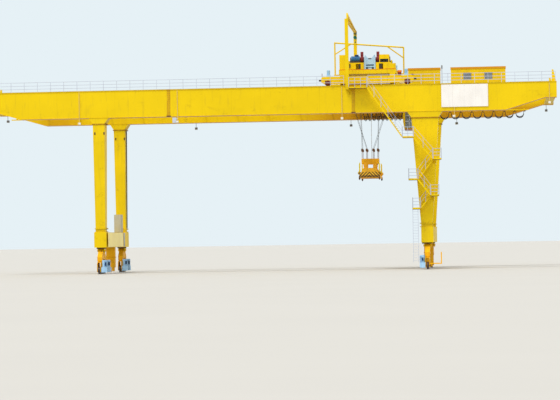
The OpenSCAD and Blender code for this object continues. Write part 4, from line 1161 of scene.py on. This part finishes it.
class CRANE_OT_landing_shade(PieceOperator, bpy.types.Operator):
    """Set a dark strip under the front edge of each landing, as painted shade of the landing's underside"""

    bl_idname = "crane.landing_trim"
    bl_label = "Landing trim"

    def execute(self, context):
        front = low("stair_landings").y
        # Left end, right end and height of each landing
        landings = (
            (4.98, 6.0, 10.14),
            (7.925, 8.535, 7.33),
            (9.6, 10.065, 6.095),
            (8.22, 8.747, 4.98),
            (9.44, 9.9, 4.08),
            (8.413, 8.857, 3.36),
        )
        spans = [(x0 + 0.01, x1 - 0.01, 0.01, 0.07, z - 0.03, z + 0.002) for x0, x1, z in landings]
        # Painted shade: dark brown strips under the landings' front edges
        shade_strips = blocks([(0, front, 0)], spans)
        finished(boxes("landing_painted_shade", shade_strips, 0.002), "locks", "structure")
        return {"FINISHED"}


class CRANE_OT_storm_anchors(PieceOperator, bpy.types.Operator):
    """Hang the storm anchors under the middle of the sill beams"""

    bl_idname = "crane.storm_anchors"
    bl_label = "Storm anchors"

    def execute(self, context):
        anchors = blocks([(-LEG_X, -0.7, 0), (LEG_X, -0.7, 0)], (
            (-0.25, 0.25, -0.2, 0.2, 0.34, SILL_TOP - SILL_DEPTH + 0.002),
            (-0.2, 0, -0.14, 0.14, 0.06, 0.35),
            (0.06, 0.2, -0.14, 0.14, 0.12, 0.35),
            (-0.28, 0.28, -0.24, 0.24, 0.9, 0.95),
        ))
        finished(boxes("storm_anchors", anchors, 0.008), "bogies", "structure")
        return {"FINISHED"}


class CRANE_OT_hoist_chain(PieceOperator, bpy.types.Operator):
    """Hang the chain in the service hoist"""

    bl_idname = "crane.hoist_chain"
    bl_label = "Hoist chain"

    def execute(self, context):
        a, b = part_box("service_hoist")
        x, y, foot, link = (a.x + b.x) / 2, (a.y + b.y) / 2, a.z + 0.17, 0.02
        line = [(x + 0.016 * (k % 2 * 2 - 1), y, foot + link * k) for k in range(8)]
        finished(tubes("hoist_chain", [line], 0.006, 8), "dark", "workshop_hoist")
        return {"FINISHED"}


# Camera fitted to the photograph: place in metres, angles in degrees, focal length in pixels
CAMERA_PLACE = (12.882, -137.954, 1.688)
CAMERA_YAW = 5.076
CAMERA_PITCH = 0.986
CAMERA_ROLL = 0.927
FOCAL_PIXELS = 2400.0
IMAGE_WIDTH = 560
SENSOR_WIDTH = 36.0


def add_camera(scene):
    """Sets up the camera at the photograph's viewing angle."""
    data = bpy.data.cameras.new("camera")
    data.sensor_width = SENSOR_WIDTH
    data.lens = FOCAL_PIXELS / IMAGE_WIDTH * SENSOR_WIDTH
    data.clip_start, data.clip_end = 1.0, 3000.0
    camera = bpy.data.objects.new("camera", data)
    scene.collection.objects.link(camera)
    yaw, pitch, roll = (math.radians(v) for v in (CAMERA_YAW, CAMERA_PITCH, CAMERA_ROLL))
    ahead = Vector((-math.sin(yaw) * math.cos(pitch), math.cos(yaw) * math.cos(pitch), math.sin(pitch)))
    right = Vector((math.cos(yaw), math.sin(yaw), 0))
    up = right.cross(ahead)
    side = right * math.cos(roll) - up * math.sin(roll)
    top = right * math.sin(roll) + up * math.cos(roll)
    turn = Matrix((side, top, -ahead)).transposed()
    camera.matrix_world = Matrix.Translation(CAMERA_PLACE) @ turn.to_4x4()
    scene.camera = camera


class CRANE_OT_stage(PieceOperator, bpy.types.Operator):
    """Set up floor, light, world and camera"""

    bl_idname = "crane.stage"
    bl_label = "Stage"

    def execute(self, context):
        scene = context.scene
        stage = scene.crane_stage
        far = 900.0
        corners = [(-far, -far, 0), (far, -far, 0), (far, far, 0), (-far, far, 0)]
        floor = mesh_piece("floor", corners, [(0, 1, 2, 3)])
        f = Finish("floor_paint")
        mottle = f.noise(f.place, 0.15, 4.0)
        base = f.mix(shade(stage.floor, 0.97), shade(stage.floor, 1.02), mottle)
        f.set(Base_Color=base, Roughness=0.85, Specular_IOR_Level=0.2)
        floor.data.materials.append(f.material)

        world = bpy.data.worlds.new("studio")
        world.use_nodes = True
        scene.world = world
        tree = world.node_tree
        tree.nodes.clear()

        def add(kind, settings=None, *values, **named):
            return add_node(tree, kind, settings or {}, *values, **named).outputs

        lit = add("ShaderNodeBackground", Color=(1.0, 0.97, 0.91, 1.0), Strength=stage.sky)[0]
        seen = add("ShaderNodeBackground", Color=tint(230, 241, 246), Strength=1.0)[0]
        path = add("ShaderNodeLightPath")
        shows = path["Is Camera Ray"]
        for ray in ("Is Glossy Ray", "Is Transmission Ray"):
            shows = add("ShaderNodeMath", {"operation": "MAXIMUM"}, shows, path[ray])[0]
        add("ShaderNodeOutputWorld", Surface=add("ShaderNodeMixShader", None, shows, lit, seen)[0])

        key = bpy.data.lights.new("key", "SUN")
        key.energy = stage.sun
        key.angle = math.radians(18)
        key.color = (1.0, 0.97, 0.92)
        lamp = bpy.data.objects.new("key", key)
        scene.collection.objects.link(lamp)
        lamp.rotation_mode = "QUATERNION"
        lamp.rotation_quaternion = Vector((0.55, 1.0, -2.4)).to_track_quat("-Z", "Y")

        add_camera(scene)
        scene.view_settings.view_transform = "Standard"
        return {"FINISHED"}


OPERATORS = (
    CRANE_OT_frame_finishes,
    CRANE_OT_ropes,
    CRANE_OT_festoon,
    CRANE_OT_girder_bolts,
    CRANE_OT_leg_bolts,
    CRANE_OT_motor_fins,
    CRANE_OT_drum_windings,
    CRANE_OT_house_windows,
    CRANE_OT_lamps,
    CRANE_OT_headblock_sheaves,
    CRANE_OT_trolley_trim,
    CRANE_OT_winch_details,
    CRANE_OT_side_beam_fittings,
    CRANE_OT_cabin_bars,
    CRANE_OT_leg_trim,
    CRANE_OT_sill_trim,
    CRANE_OT_landing_shade,
    CRANE_OT_storm_anchors,
    CRANE_OT_hoist_chain,
    CRANE_OT_stage,
)


class CRANE_PT_panel(bpy.types.Panel):
    """Lists the crane's pieces and their settings"""

    bl_label = "Gantry Crane"
    bl_idname = "CRANE_PT_panel"
    bl_space_type = "VIEW_3D"
    bl_region_type = "UI"
    bl_category = "Gantry Crane"

    def draw(self, context):
        for group in (context.scene.crane_colours, context.scene.crane_details, context.scene.crane_stage):
            column = self.layout.column()
            for name in group.__annotations__:
                column.prop(group, name)
        for operator in OPERATORS:
            self.layout.operator(operator.bl_idname)


GROUPS = {"crane_colours": CraneColours, "crane_details": CraneDetails, "crane_stage": CraneStage}


def register():
    """Registers the property groups, operators and panel."""
    for name, group in GROUPS.items():
        bpy.utils.register_class(group)
        setattr(bpy.types.Scene, name, bpy.props.PointerProperty(type=group))
    for cls in (*OPERATORS, CRANE_PT_panel):
        bpy.utils.register_class(cls)


def unregister():
    """Removes what register added."""
    for cls in (CRANE_PT_panel, *reversed(OPERATORS)):
        bpy.utils.unregister_class(cls)
    for name, group in GROUPS.items():
        delattr(bpy.types.Scene, name)
        bpy.utils.unregister_class(group)


def main():
    """Makes all pieces and the stage."""
    register()
    for operator in OPERATORS:
        family, name = operator.bl_idname.split(".")
        getattr(getattr(bpy.ops, family), name)()


if __name__ == "__main__":
    main()
